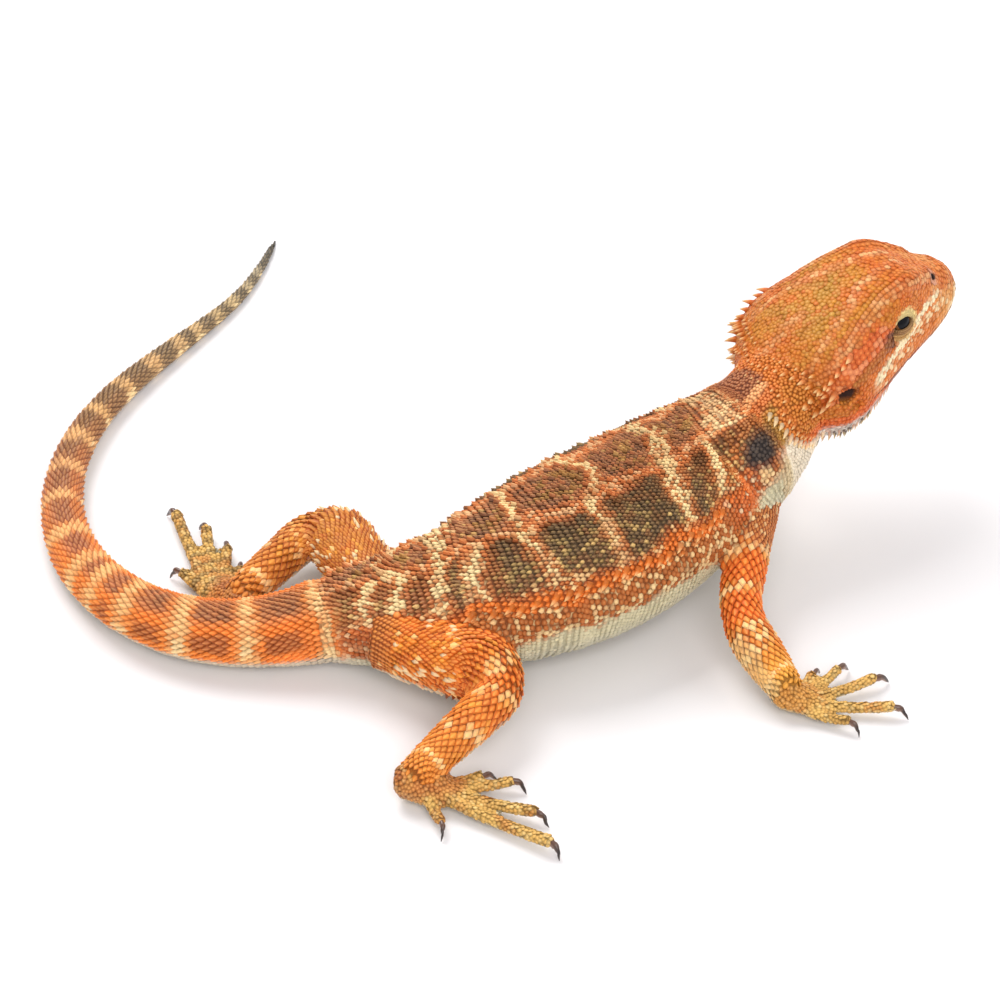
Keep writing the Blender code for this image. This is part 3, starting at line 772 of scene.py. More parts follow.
    def trunk(self, points: np.ndarray, place: np.ndarray, turn: np.ndarray) -> np.ndarray:
        """Colours of the neck and the trunk.

        Args:
            points: places on the skin.
            place: their distances along the spine.
            turn: their degrees round it.

        Returns:
            Linear colours.
        """
        fleck = hashed(np.round(points * 2.2).astype(np.int64), 11)
        fleck2 = hashed(np.round(points * 2.2).astype(np.int64), 12)
        waver = (
            np.interp(place, (12, 30, 85, 100), (1.0, 4.6, 4.6, 2.4)) * (noise(points, 9.0, 15) - 0.5)
            + 1.8 * (noise(points, 2.6, 1) - 0.5) + 0.8 * (fleck - 0.5)
        )
        side = self.near_side(turn) + 6.0 * (noise(points, 3.6, 2) - 0.5) + 12.0 * (noise(points, 8.0, 16) - 0.5)
        bars, line = self.net_gap(place + waver, side)
        net = np.minimum(bars, line)
        blot = noise(points, 1.7, 3)
        back = ease(15, 8, side - 4 * ease(3.0, 0.5, line))
        paint = Paint.ground(len(points), "#BA7248")
        core = ease(1.1, 2.4, net)
        paint.over("#A06A4A", back * core * 0.85)
        paint.over("#6C4C3A", back * core * ease(0.48, 0.7, blot) * 0.6)
        paint.over("#A87C40", back * ease(2.4, 4.6, net) * ease(0.45, 0.7, noise(points, 2.6, 4)) * 0.75)
        paint.over("#B8714A", back * (fleck2 > 0.8) * 0.7)
        paint.over("#C9A060", back * core * (fleck > 0.93) * 0.7)
        flank = ease(10, 16, side) * ease(65, 60, side)
        paint.over("#AC5A2C", flank * 0.9)
        # round blotches between the flank bars
        bend = np.clip((np.abs(side - 39) - 10) / 15, 0, 1)
        rim = 0.5 + 4.2 * bend**2
        dark = flank * ease(rim, rim + 1.7, bars + 1.5 * (blot - 0.5)) * ease(13, 19, side)
        fore = ease(88, 84, place) * ease(26, 34, place) + ease(89, 91, place) * ease(104, 98, place) * 0.7
        paint.over("#83502E", dark * 0.75)
        paint.over("#6B533A", dark * fore * (0.55 + 0.45 * ease(0.3, 0.6, blot)))
        shoulder = ease(36, 26, place)
        paint.over("#B5622A", shoulder * ease(20, 34, side) * 0.8)
        paint.over("#5F3B20", shoulder * ease(12, 20, place) * flank * ease(2, 3.5, net) * ease(48, 38, side))
        paint.over("#A98C54", dark * (fleck > 0.8) * 0.5 * ease(22, 32, side))
        paint.over("#D2AC6C", flank * ease(34, 48, side) * (fleck2 > 0.86) * 0.8)
        band = ease(55, 61, side)
        paint.over("#A8562A", band)
        paint.over("#E6C088", band * (fleck > 0.76) * ease(74, 66, side) * 0.85)
        paint.over("#DA6C24", ease(61, 63.5, side) * ease(71, 68, side))
        paint.over("#B0622E", ease(68, 71, side))
        paint.over("#ECC68C", ease(66, 69, side) * (fleck > 0.78) * 0.85)
        paint.over("#E6C690", ease(76, 83, side) * (fleck > 0.55) * 0.85)
        glow = noise(points, 1.6, 8)
        paint.over("#BE6A38", ease(3.6, 2.0, bars) * ease(60, 52, side) * 0.7)
        paint.over("#D07A44", ease(1.9, 1.1, line) * ease(0.12, 0.45, glow) * 0.85)
        worn = ease(0.2, 0.55, noise(points, 2.2, 10))
        cream = ease(62, 55, side) * (0.55 + 0.45 * worn) * np.interp(place, (12, 24, 96, 112), (0.4, 1.0, 1.0, 0.9))
        cream *= 1 - 0.4 * ease(28, 38, side) * ease(44, 52, place) * ease(84, 78, place)
        paint.over("#E8BE8C", ease(1.2, 0.5, line) * 0.8 * (fleck > 0.42))
        paint.over("#E9CD94", ease(2.8, 1.9, bars) * cream * (fleck > 0.8) * 0.85)
        paint.over("#EBD09A", ease(1.55, 1.0, bars) * cream * (0.4 + 0.6 * (fleck > 0.2)))
        paint.over("#B8703F", ease(2.1, 1.35, bars) * cream * (fleck < 0.2) * 0.8)
        # belly: pale, with the orange fading out through one row of cream
        edge = np.interp(place, (18, 24, 38, 46, 90, 106, 127), (84, 102, 102, 88, 88, 98, 108))
        paint.over("#B0582A", ease(98, 108, place) * ease(58, 66, side) * 0.8)
        paint.over("#DDB083", ease(98, 108, place) * ease(58, 66, side) * (fleck > 0.86))
        fading = np.interp(place, (22, 32), (9.0, 4.5))
        belly = ease(-1, 1, (side - edge + 4 * (fleck - 0.5)) / fading)
        paint.over("#D4CAA6", belly)
        paint.over("#CAC3AA", belly * ease(95, 120, side))
        neck = ease(15, 11, place)
        paint.over("#955234", neck * ease(14, 9, side))
        paint.over("#C2632C", neck * ease(9, 20, side))
        paint.over("#A9752C", neck * ease(30, 42, side))
        paint.over("#E0A06A", neck * ease(1.6, 0.7, line) * 0.8)
        paint.over("#EADCC4", neck * ease(56, 66, side))
        paint.over("#DCCB8C", neck * ease(10, 15, place) * ease(66, 76, side))
        self.shoulder_patches(paint, points, fleck)
        chest = ease(14, 18, place) * ease(34, 28, place) * ease(60, 66, side) * ease(92, 80, side)
        paint.over("#D0652C", chest * 0.8)
        paint.over("#EBCBA0", chest * (fleck > 0.86))
        return paint.mottled(points)

    def shoulder_patches(self, paint: Paint, points: np.ndarray, fleck: np.ndarray) -> None:
        """Paints the dark patch behind the beard on each side, with the pale one below it."""
        head = self.skeleton.head
        for sign in (-1, 1):
            spot = head.outward(np.array([72.6, 19.2 * sign, -0.6]))
            length = unit(head.turn(np.array([6.3, 4.5 * sign, -4.9])))
            offset = points - spot
            along = offset @ length
            across = np.sqrt(np.maximum(np.einsum("nd,nd->n", offset, offset) - along**2, 0))
            reach = np.hypot(along / 5.2, across / 3.3) + 0.25 * (noise(points, 1.2, 9) - 0.5)
            paint.over("#6B4632", ease(1.8, 1.0, reach) * 0.85)
            paint.over("#423834", ease(1.35, 0.65, reach))
            pale = np.linalg.norm(points - head.outward(np.array([74.0, 22.4 * sign, -5.0])), axis=1)
            paint.over("#EBD9A0", ease(2.8, 1.4, pale) * (fleck > 0.3))

    def tail(self, points: np.ndarray, place: np.ndarray, turn: np.ndarray) -> np.ndarray:
        """Colours of the tail, with its pale bands, from the same things as the trunk's."""
        fleck = hashed(np.round(points * 2.0).astype(np.int64), 21)
        waver = 1.5 * (noise(points, 2.6, 22) - 0.5) + 0.8 * (fleck - 0.5)
        stops = (124, 160, 200, 235, 262, 290, 320, 340, 356)
        tops = ("#AC6840", "#B06840", "#A0593A", "#8C5538", "#7E5A3C", "#78614A", "#746450", "#6B6355", "#4A4742")
        flanks = ("#E87C36", "#E87C2E", "#D67432", "#A65E38", "#8A5F40", "#7C634A", "#746450", "#6B6355", "#4A4742")
        pales = ("#EBC388", "#E8B478", "#E2A668", "#D89C66", "#CE9E68", "#C69C6C", "#BA9F74", "#A89A80", "#6E6A64")
        top, flank, pale = (
            np.column_stack([np.interp(place, stops, [linear(colour)[axis] for colour in ramp]) for axis in range(3)])
            for ramp in (tops, flanks, pales)
        )
        side = np.abs(turn - 4.0)
        paint = Paint(top)
        paint.over(flank, ease(14, 46, side + 12 * (noise(points, 3, 23) - 0.5)))
        paint.over(paint.colours * 1.35, (fleck > 0.8) * 0.6)
        nearest = np.abs((place + waver)[:, None] - np.array(self.tail_bands)[None]).min(axis=1)
        stripe = side + 9 * (noise(points, 2.6, 24) - 0.5)
        core = ease(3.0, 4.6, nearest) * ease(200, 180, place)
        paint.over("#A4552C", core * ease(50, 56, stripe) * ease(88, 80, stripe) * 0.85)
        paint.over("#8A563C", core * ease(30, 22, stripe) * ease(0.4, 0.7, noise(points, 1.6, 25)) * 0.7)
        paint.over("#E5762C", ease(210, 190, place) * ease(32, 38, stripe) * ease(52, 46, stripe) * 0.8)
        half = np.interp(place, (128, 134, 160, 195, 240, 300, 340), (1.1, 1.8, 1.9, 1.8, 2.2, 2.1, 2.0))
        paint.over("#E08038", ease(half + 1.8, half + 0.4, nearest) * ease(230, 200, place) * 0.6)
        paint.over(pale, ease(half + 0.7, half - 0.7, nearest) * (0.55 + 0.45 * (fleck > 0.3)))
        paint.over("#F3D9A4", ease(half, half - 1.0, nearest) * ease(60, 80, side) * (fleck > 0.5) * 0.7)
        under = ease(100, 116, side) * ease(300, 240, place)
        paint.over("#CFC3AE", under)
        return paint.mottled(points, 0.12)

    def limb(self, name: str, points: np.ndarray, normals: np.ndarray, parts: np.ndarray) -> np.ndarray:
        """Colours of a limb with its hand or foot.

        Args:
            name: the limb, such as arm_left.
            points: places on its skin.
            normals: the skin's normals there.
            parts: the values of Part.

        Returns:
            Linear colours.
        """
        kind, side = name.split("_")
        line = self.skeleton.limbs[name]
        along, about = self.around(line, points)
        fleck = hashed(np.round(points * 1.5).astype(np.int64), 31)
        soft = noise(points, 3.0, 32)
        # painted shade: the left limbs, on the far side, start from darker oranges than the right ones
        paint = Paint.ground(len(points), "#D2641C" if side == "right" else "#A8521A")
        paint.over("#DA7A20" if side == "right" else "#B4661C", ease(0.4, 0.75, soft) * 0.6)
        paint.over("#B04C18", (fleck < 0.25) * 0.5)
        paint.over("#EA9A34", (fleck > 0.88) * 0.5)
        lower = 40 if kind == "leg" else 44
        yellow = ease(lower, line.length, along)
        paint.over("#DA9C3A" if kind == "arm" else "#D47C2C", yellow * 0.75)
        bars = self.leg_bars if kind == "leg" else self.arm_bars
        waver = (2.6 if kind == "leg" else 1.6) * (noise(points, 2.4, 33) - 0.5) + 0.6 * (fleck - 0.5)
        slant = 1.4 * np.sin(np.radians(about))
        nearest = np.abs((along + waver + slant)[:, None] - np.array(bars)[None]).min(axis=1)
        paint.over("#E79A4E", ease(2.2, 1.2, nearest) * (fleck > 0.3) * 0.7)
        if kind == "leg":
            shank = ease(48, 54, along)
            paint.over("#F3CC92", ease(1.4, 0.6, nearest) * (fleck > 0.45 - 0.2 * shank) * (0.5 + 0.25 * shank))
        else:
            paint.over("#F3CC92", ease(1.4, 0.6, nearest) * (fleck > 0.25) * 0.8)
        if kind == "arm":
            paint.over("#DE5E1C", ease(22, 26, along) * ease(46, 42, along) * ease(1.6, 2.4, nearest) * 0.6)
            paint.over("#A9623C", ease(23.5, 20.5, along) * 0.8)
            paint.over("#E6BC88", ease(23.5, 20.5, along) * (fleck > 0.8) * 0.8)
            paint.over("#DCC48C", ease(44, 50, along) * ease(-0.3, -0.7, normals @ self.skeleton.head.ahead) * 0.5)
        if kind == "leg":
            paint.over("#B4622E", ease(17, 10, along) * 0.75)
            paint.over("#F6C884", ease(36, 30, along) * (fleck > 0.965) * 0.8)
            rear = ease(12, 16, along) * ease(31, 27, along) * (fleck > 0.74)
            paint.over("#F3D9A8", rear * ease(-0.2, -0.45, normals[:, 2]) * 0.9)
        under = ease(-0.25, -0.6, normals[:, 2])
        paint.over("#D5CBB2", under * 0.9)
        sole = self.sole(name, points, normals[:, 2], fleck, under)
        paint.over(sole, np.isin(parts, [Part.HAND.value, Part.FOOT.value]).astype(float))
        return paint.mottled(points)

    def sole(
        self, name: str, points: np.ndarray, rise: np.ndarray, fleck: np.ndarray, under: np.ndarray
    ) -> np.ndarray:
        """Colours of a limb's hand or foot.

        Args:
            name: the limb.
            points: places on its skin.
            rise: how far upwards the skin faces there, from -1 to 1.
            fleck: the fleck of each scale, from 0 to 1.
            under: how much each belongs to the underside.

        Returns:
            Linear colours.
        """
        kind, side = name.split("_")
        sole = Paint.ground(len(points), "#CDA258")
        sole.over("#DFAE60", (fleck > 0.6) * 0.45)
        sole.over("#A47638", ease(0.45, 0.75, noise(points, 2.6, 34)) * 0.55)
        sole.over("#B8682C", ease(0.5, 0.75, noise(points, 3.4, 35)) * 0.5)
        sole.over("#DDBD7C", (fleck < 0.2) * 0.55)
        beyond = np.linalg.norm(points - self.skeleton.limbs[name].points[-1], axis=1)
        if kind == "arm":
            sole.over("#C97A2C", ease(9, 4, beyond) * 0.6)
        else:
            sole.over("#BC6A32", ease(17, 11, beyond) * ease(0.3, 0.6, noise(points, 4.0, 36)) * 0.7)
            sole.over("#94502A", ease(13, 9, beyond) * ease(0.48, 0.62, noise(points, 3.0, 37)) * 0.7)
            sole.over("#857C62", ease(7.5, 4.0, beyond) * ease(0.5, -0.3, rise) * 0.75)
        if side == "left":
            sole.over("#7A5E32", ease(0.2, 0.8, np.sin(beyond * 1.7)) * ease(8, 11, beyond) * 0.7)
        sole.over("#D6C9A4", under * 0.7)
        return sole.colours

    def mouth_gap(self, place: np.ndarray) -> np.ndarray:
        """Signed height above the mouth line, for points in the head's frame."""
        backs, heights = zip(*self.mouth)
        return place[:, 2] - np.interp(place[:, 0], backs, heights)

    def head(self, points: np.ndarray, normals: np.ndarray) -> np.ndarray:
        """Colours of the head and the beard, at places on the skin with these normals."""
        frame = self.skeleton.head
        where = frame.inward(points)
        back, height = where[:, 0], where[:, 2]
        where = frame.folded(where)
        out = where[:, 1]
        lift = normals @ frame.above
        fleck = hashed(np.round(points * 1.6).astype(np.int64), 41)
        fleck2 = hashed(np.round(points * 1.6).astype(np.int64), 42)
        soft = noise(points, 3.2, 43)
        paint = Paint.ground(len(points), "#C86820")
        top = ease(21, 30, back) * ease(60, 52, back) * ease(0.15, 0.5, lift)
        paint.over("#BE7A24", top * ease(0.2, 0.6, soft))
        olive = top * ease(13.5, 10, out) * ease(28, 34, back) * ease(54, 47, back)
        paint.over("#A27D30", olive * ease(0.35, 0.7, noise(points, 2.8, 44)) * 0.5)
        paint.over("#BC6E20", ease(44, 50, back) * ease(9, 12, out) * ease(12, 8, height) * 0.8)
        snout = ease(22, 13, back)
        paint.over("#CF7434", snout)
        paint.over("#DC9A5C", snout * ease(0.4, 0.7, soft) * 0.6)
        paint.over("#C24E1C", (fleck > 0.75) * 0.35)
        paint.over("#D09A48", (fleck2 > 0.84) * top * 0.45)
        broken = ease(0.25, 0.6, noise(points, 1.8, 46))
        for path, width, amount in (
            (self.brow, 1.5, 0.55), (self.crown, 1.0, 0.65), (self.nape, 0.9, 0.6), (self.temple, 0.9, 0.5)
        ):
            gap = gap_to_path(where, np.array(path)) + 1.3 * (noise(points, 1.4, 45) - 0.5)
            paint.over("#C4552A", ease(width + 1.2, width, gap) * 0.45)
            paint.over(
                "#EDBB80",
                ease(width + 0.3, width - 0.5, gap) * amount * (0.2 + 0.8 * (fleck > 0.45)) * (0.35 + 0.65 * broken),
            )
        gap = gap_to_path(where, np.array(self.cheek))
        paint.over("#CF5C2C", ease(3.4, 2.4, gap) * 0.85)
        paint.over("#EBA070", ease(2.9, 1.8, gap) * (fleck > 0.72) * 0.5)
        paint.over("#B8641E", ease(40, 50, back) * ease(62, 56, back) * 0.35)
        above_lip = self.mouth_gap(where)
        self.jaws(paint, points, where, lift, (fleck, fleck2))
        self.openings(paint, where)
        # painted shade: a dark line along the slit of the mouth
        slit_shade = ease(0.75, 0.35, np.abs(above_lip)) * ease(39, 36, back)
        paint.over("#5A2A1A", slit_shade * 0.85)
        behind = ease(58, 64, back)
        paint.over("#CB6A2C", behind * ease(7, 10, out) * 0.6)
        return paint.mottled(points)

    def jaws(
        self,
        paint: Paint,
        points: np.ndarray,
        where: np.ndarray,
        lift: np.ndarray,
        flecks: tuple[np.ndarray, np.ndarray],
    ) -> None:
        """Paints the lips, the streaks below them, the chin and the beard's underside.

        Args:
            paint: the head's colours so far.
            points: places on the head.
            where: the same in its own frame, with its right half laid over its left one.
            lift: how far each faces upwards, from -1 to 1.
            flecks: two values for each scale, from 0 to 1.
        """
        fleck, fleck2 = flecks
        back, height = where[:, 0], where[:, 2]
        above_lip = self.mouth_gap(where)
        low = ease(1.0, -0.6, above_lip)
        paint.over("#CF5D26", low * ease(12, 24, back))
        side_gap = gap_to_path(where, np.array(self.lip)) + 0.7 * (noise(points, 1.3, 47) - 0.5)
        below = ease(0.0, -1.2, height - np.interp(back, [p[0] for p in self.lip], [p[2] for p in self.lip]))
        paint.over("#D2722C", below * ease(-1.0, 0.5, above_lip) * ease(38, 34, back) * 0.9)
        paint.over("#DFA860", below * ease(14, 6, back) * 0.55)
        paint.over(
            "#F0DDB4",
            ease(0.0, 0.7, np.interp(back, (4, 9, 14, 22), (0.3, 1.0, 1.6, 1.9)) - side_gap) * ease(38.5, 35, back)
            * (0.3 + 0.7 * (fleck > 0.26)),
        )
        streaks = ease(0.0, 0.5, np.sin(4.1 * side_gap - 2.6)) * ease(1.6, 2.1, side_gap) * ease(6.2, 5.0, side_gap)
        paint.over("#F0D8A8", streaks * below * ease(38, 33, back) * (0.25 + 0.75 * (fleck2 > 0.35)) * 0.75)
        chin = ease(-2.2, -4.0, above_lip) * ease(0.2, -0.2, lift)
        paint.over("#DCCFC4", chin * (0.6 + 0.4 * (fleck > 0.3)))
        edge = ease(30, 38, back) * ease(54, 48, back) * ease(-5.5, -8, height)
        paint.over("#7A5A4E", edge * (fleck2 > 0.55) * 0.75)
        under = ease(-0.2, -0.6, lift) * ease(0.0, -2.5, above_lip)
        paint.over("#D8CEC2", under)

    def openings(self, paint: Paint, where: np.ndarray) -> None:
        """Paints the lids, the smudge and the stripe behind the eye, and the ear and the nostril, whose hollows are
        painted dark as shade.
        """
        back, height = where[:, 0], where[:, 2]
        lids = where - (LID_BACK, LID_OUT, LID_HEIGHT)
        ring = ease(5.8, 5.0, np.linalg.norm(lids, axis=1))
        paint.over("#DEB274", ring)
        paint.over("#E8CE8A", ring * ease(6.6, 8.8, height - 0.12 * (back - LID_BACK)) * 0.95)
        rim = np.hypot(lids @ (0.98, 0.0, -0.1) / 3.3, (lids - (0, 2.6, 0)) @ (0.0, -0.39, 0.92) / 1.95)
        paint.over("#6E3820", ring * ease(1.16, 1.0, rim) * 0.7)
        smudge = np.linalg.norm((where - (29.2, 15.4, 7.6)) / (2.6, 3.0, 2.2), axis=1)
        paint.over("#5E382A", ease(1.45, 0.7, smudge) * 0.95)
        stripe = gap_to_path(where, np.array([(30.0, 15.4, 7.4), (37.0, 17.6, 5.6), (43.0, 18.8, 4.6)]))
        paint.over("#9A5A2C", ease(2.0, 1.0, stripe) * 0.6)
        # painted shade: the hollow of the ear is painted near black
        ear = np.linalg.norm((where - (46.0, 19.8, 2.6)) / (2.5, 3.0, 1.6), axis=1)
        paint.over("#3E2018", ease(1.25, 0.95, ear))
        nostril = np.linalg.norm(where - self.nostril, axis=1)
        paint.over("#CFA28C", ease(2.5, 1.6, nostril) * 0.6)
        # painted shade: inside its pale rim, the hollow of the nostril is painted near black
        paint.over("#2A1712", ease(1.35, 0.9, nostril))


# ---------------------------------------------------------------- roots of the scales


@dataclass
class Roots:
    """Places where scales grow, with the way that each lies and its size."""

    points: np.ndarray
    normals: np.ndarray
    lies: np.ndarray
    sizes: np.ndarray  # length, width and height
    labels: np.ndarray
    parts: np.ndarray
    groups: np.ndarray  # names of the coat piece that each scale belongs to

    @classmethod
    def join(cls, several: list[Roots]) -> Roots:
        """Many sets of roots as one."""
        return cls(*(np.concatenate([getattr(one, name) for one in several]) for name in cls.__dataclass_fields__))

    def pick(self, chosen: np.ndarray) -> Roots:
        """The chosen roots."""
        return Roots(*(getattr(self, name)[chosen] for name in self.__dataclass_fields__))


class Form(Enum):
    """The shapes of scale."""

    KEELED = "keeled"
    PLATE = "plate"
    GRAIN = "grain"
    SPINE = "spine"

    @property
    def triangles(self) -> int:
        """The most triangles that one scale may take."""
        return {Form.KEELED: 50, Form.PLATE: 42, Form.GRAIN: 36, Form.SPINE: 52}[self]

    @classmethod
    def for_group(cls, group: str) -> Form:
        """The form that a group of scales has, by its name."""
        start = group.split("_")[0]
        if start == "spines":
            return cls.SPINE
        if start in ("head", "hand", "foot"):
            return cls.PLATE
        return cls.GRAIN if group.endswith("_fill") or start in ("lid", "belly") else cls.KEELED


@dataclass(frozen=True)
class SpineRow:
    """A row of spines on each side of the head; its path and its way are (back, out, above) in the head's frame."""

    way: Spot
    gap: float
    width: float
    length: float
    path: tuple[Spot, ...]
    group: str = "spines"  # of the half of a row called spines_dark, the rest are plain spines
    crosses: bool = False  # whether it crosses the middle of the head, where it is lower


HEAD_SPINES = (
    # round the back of the head
    SpineRow((1, 0.35, 0.55), 2.2, 1.75, 2.5, ((60, 1, 8.6), (57.5, 7, 9), (54, 13, 7), (51, 17.5, 4)), crosses=True),
    SpineRow((1.0, 0.3, 0.7), 2.2, 1.5, 1.7, ((56.5, 2, 10.2), (54.5, 8, 9.6), (51.5, 13.5, 8)), crosses=True),
    SpineRow((1.0, 0.4, 0.5), 2.2, 1.4, 1.7, ((63, 2, 7.6), (61.5, 9, 7.4), (60, 14, 5.6)), crosses=True),
    SpineRow(
        (0.75, 0.9, 0.45), 2.2, 2.0, 2.6,
        ((42.5, 15.6, 9.6), (46.0, 16.4, 8.2), (49.5, 16.9, 6.6), (53.0, 16.6, 5.0), (56.5, 16.2, 3.4)),
    ),
    # the beard's rear edge
    SpineRow(
        (0.75, 0.85, -0.25), 1.8, 1.45, 2.2,
        (
            (65.7, 14.4, 4.4), (64.6, 17, 2.4), (63.6, 19.2, -0.6), (60, 19.6, -4.8), (56.5, 18.4, -7.4),
            (52, 17, -8.6),
        ),
        "spines_pale",
    ),
    SpineRow(
        (0.8, 0.8, 0.0), 2.0, 1.4, 2.1, ((62, 15.6, 4.4), (61.2, 18.2, 1.6), (59.6, 19.4, -2.2), (55, 18.8, -6))
    ),
    # behind and over the ear
    SpineRow((0.9, 0.75, 0.1), 2.0, 2.2, 3.2, ((49.6, 19.0, 4.4), (51.4, 18.6, 2.0), (53.6, 17.6, 0.4))),
    SpineRow((0.9, 0.7, 0.35), 2.0, 1.4, 2.0, ((50.2, 18.0, 6.2), (53.0, 17.2, 4.4), (56.0, 16.6, 2.8))),
    # the beard's lower edge and the throat
    SpineRow(
        (0.55, 0.8, -0.55), 1.3, 0.9, 1.9,
        ((34.0, 17.0, -7.6), (40.0, 18.4, -8.2), (46.0, 18.6, -9.0), (51.0, 17.6, -9.6)), "spines_dark",
    ),
    SpineRow(
        (0.6, 0.65, -0.75), 1.5, 0.9, 1.8,
        ((30.0, 14.6, -8.0), (38.0, 16.8, -9.6), (46.0, 17.2, -10.8), (53.0, 15.6, -11.0)), "spines_dark",
    ),
    SpineRow((0.7, 0.4, -0.9), 1.9, 0.9, 1.6, ((28, 11, -10), (38, 13, -12), (48, 13.4, -12.8), (55, 12, -12.6))),
    SpineRow((0.8, 0.2, -0.9), 2.0, 1.0, 1.9, ((50.0, 2.0, -13.5), (51.5, 7.0, -13.5), (53.0, 12.0, -12.5))),
)


@dataclass
class Planter:
    """Finds the root of every scale on the hide."""

    hide: Hide
    skeleton: Skeleton
    back_rows: Table = ((5, 16, 30, 60, 120), (0.72, 0.82, 0.94, 1.04, 1.15))  # places and lengths of scales there
    tail_rows: Table = ((120, 180, 250, 320, 356), (1.2, 1.45, 1.45, 1.25, 1.0))
    neck_end: float = 16.0
    belly_side: float = 84.0  # degrees from the middle of the back to where the belly's scales start
    leaning: float = -10.0  # degrees by which the middle of the back lies off the top
    ray_step: float = 2.5  # degrees between the rays that feel for the skin
    tries: float = 15.0  # points tried for each scale that fits
    cell: float = 1.3  # side of the cells in which neighbours are looked up
    body_reach: float = 40.0  # how far from its guide line the skin may be
    limb_reach: float = 15.0

    def __post_init__(self) -> None:
        """Sets the generator of the few random choices."""
        self.rng = np.random.default_rng(SEED)

    def skin_at(self, points: np.ndarray) -> tuple[np.ndarray, np.ndarray, np.ndarray]:
        """Nearest places on the skin, with the normals and the vertex numbers there."""
        found = [self.hide.tree.find_nearest(Vector(point)) for point in points]
        places = [hit for hit, _, _, _ in found]
        corners = np.array([self.hide.faces[face][0] for _, _, face, _ in found], int)
        return np.array(places, float), unit(self.hide.normals[corners]), corners

    def roots(
        self, points: np.ndarray, corners: np.ndarray, lies: np.ndarray, sizes: np.ndarray, group: np.ndarray
    ) -> Roots:
        """Roots at points on the skin, with their normals and labels filled in.

        Args:
            points: where they are.
            corners: the skin vertex next to each.
            lies: the ways that the scales point.
            sizes: their lengths, widths and heights.
            group: names of the coat piece that each belongs to.

        Returns:
            The roots.
        """
        normals = unit(self.hide.normals[corners])
        lies = unit(lies - normals * np.einsum("nd,nd->n", lies, normals)[:, None])
        return Roots(points, normals, lies, sizes, self.hide.labels[corners], self.hide.parts[corners], group)

    def rings(
        self,
        line: GuideLine,
        places: np.ndarray,
        widths: Callable[[float, float], float],
        owners: set[int],
        reach: float,
        start: float = 0.0,
    ) -> tuple[np.ndarray, np.ndarray, np.ndarray, np.ndarray, np.ndarray]:
        """Staggered rings of places round a guide line.

        Args:
            line: the guide line.
            places: distances along it at which the rings stand.
            widths: gives the spacing round the ring at a place and degrees.
            owners: labels of the nodes that may be dressed from this line.
            reach: how far from the line the skin may be.
            start: degrees round the line from which the spacing is counted, both ways.

        Returns:
            The points, skin vertex numbers, directions of the line, places and degrees.
        """
        angles = np.arange(0, 180 + self.ray_step, self.ray_step)
        found: list[tuple] = []
        for number, place in enumerate(places):
            centre, ahead, left, above = line.at(place)
            for sign in (1, -1):
                profile = []
                for angle in angles:
                    turn = math.radians(start + sign * angle)
                    way = math.cos(turn) * above + math.sin(turn) * left
                    hit, _, face, _ = self.hide.tree.ray_cast(Vector(centre), Vector(way), reach)
                    profile.append((hit, face))
                travelled, wanted = 0.0, 0.5 if number % 2 else (0.0 if sign > 0 else 1.0)
                for (first, _), (second, face), angle in zip(profile, profile[1:], angles[1:]):
                    if first is None or second is None:
                        travelled = wanted
                        continue
                    turn = (start + sign * angle + 180) % 360 - 180
                    grown = (second - first).length / widths(place, turn)
                    while travelled + grown >= wanted:
                        part = (wanted - travelled) / max(grown, 1e-6)
                        corner = self.hide.faces[face][0]
                        if self.hide.labels[corner] in owners:
                            found.append((first.lerp(second, min(max(part, 0.0), 1.0)), corner, ahead, place, turn))
                        wanted += 1.0
                    travelled += grown
        points, corners, aheads, at, turns = zip(*found)
        return np.array(points, float), np.array(corners), np.array(aheads), np.array(at), np.array(turns)

    @staticmethod
    def places_down(first: float, last: float, lengths: Table) -> np.ndarray:
        """Places from the first to before the last, each the length of a scale there after the one before."""
        places = []
        while first < last:
            places.append(first)
            first += float(np.interp(first, *lengths))
        return np.array(places)

    def labels_of(self, *starts: str) -> set[int]:
        """Numbers of the flesh nodes whose names start in one of these ways."""
        return {number for number, name in enumerate(self.hide.flesh) if name.startswith(starts)}

    def trunk(self) -> Roots:
        """Rings of keeled scales over the back, small ones on the flanks and smooth rows on the belly."""

        def width(place: float, turn: float) -> float:
            """Spacing round the trunk."""
            side = abs(turn - self.leaning)
            back = float(np.interp(place, (16, 40, 90, 125), (1.0, 1.2, 1.35, 1.5)))
            return 1.45 if side >= 75 else float(np.interp(side, (30, 45, 75), (back, 1.05, 1.15)))

        owners = self.labels_of("trunk", "pelvis", "neck")
        places = self.places_down(5.0, 129.0, self.back_rows)
        points, corners, aheads, at, turns = self.rings(
            self.skeleton.spine, places, width, owners, self.body_reach, self.leaning
        )
        side = np.abs(turns - self.leaning)
        wide = np.array([width(a, b) for a, b in zip(at, turns)])
        high = (
            np.interp(side, (0, 30, 50, 80, 100), (1.55, 1.45, 1.1, 1.05, 1.1))
            * np.interp(at, (5, 20, 40), (0.6, 0.8, 1.0))
        )
        sizes = np.column_stack([np.interp(at, *self.back_rows) * 1.36, wide * 1.12, high])
        sizes *= 0.9 + 0.22 * self.rng.random((len(sizes), 1))
        proud = (turns < 24) & (turns > -80) & (at > self.neck_end) & (self.rng.random(len(side)) < 0.14)
        sizes[proud] *= (1.2, 0.85, 2.0)
        aheads = aheads + 0.34 * (self.rng.random(aheads.shape) - 0.5)
        points = points + 0.24 * (self.rng.random(points.shape) - 0.5)
        group = np.where(side > self.belly_side, "belly_scales", np.where(side > 40, "flank_scales", "back_scales"))
        neck = np.where(side <= 66, "neck_scales", "belly_scales")
        group = np.where((at < self.neck_end) & (side <= self.belly_side), neck, group)
        return self.roots(points, corners, aheads, sizes, group)

    def tail(self) -> Roots:
        """Rings of keeled scales along the tail, smaller towards its tip."""

        def width(place: float, turn: float) -> float:
            """Spacing round the tail."""
            return float(np.interp(place, (125, 180, 250, 320, 356), (1.5, 1.55, 1.4, 1.1, 0.8)))

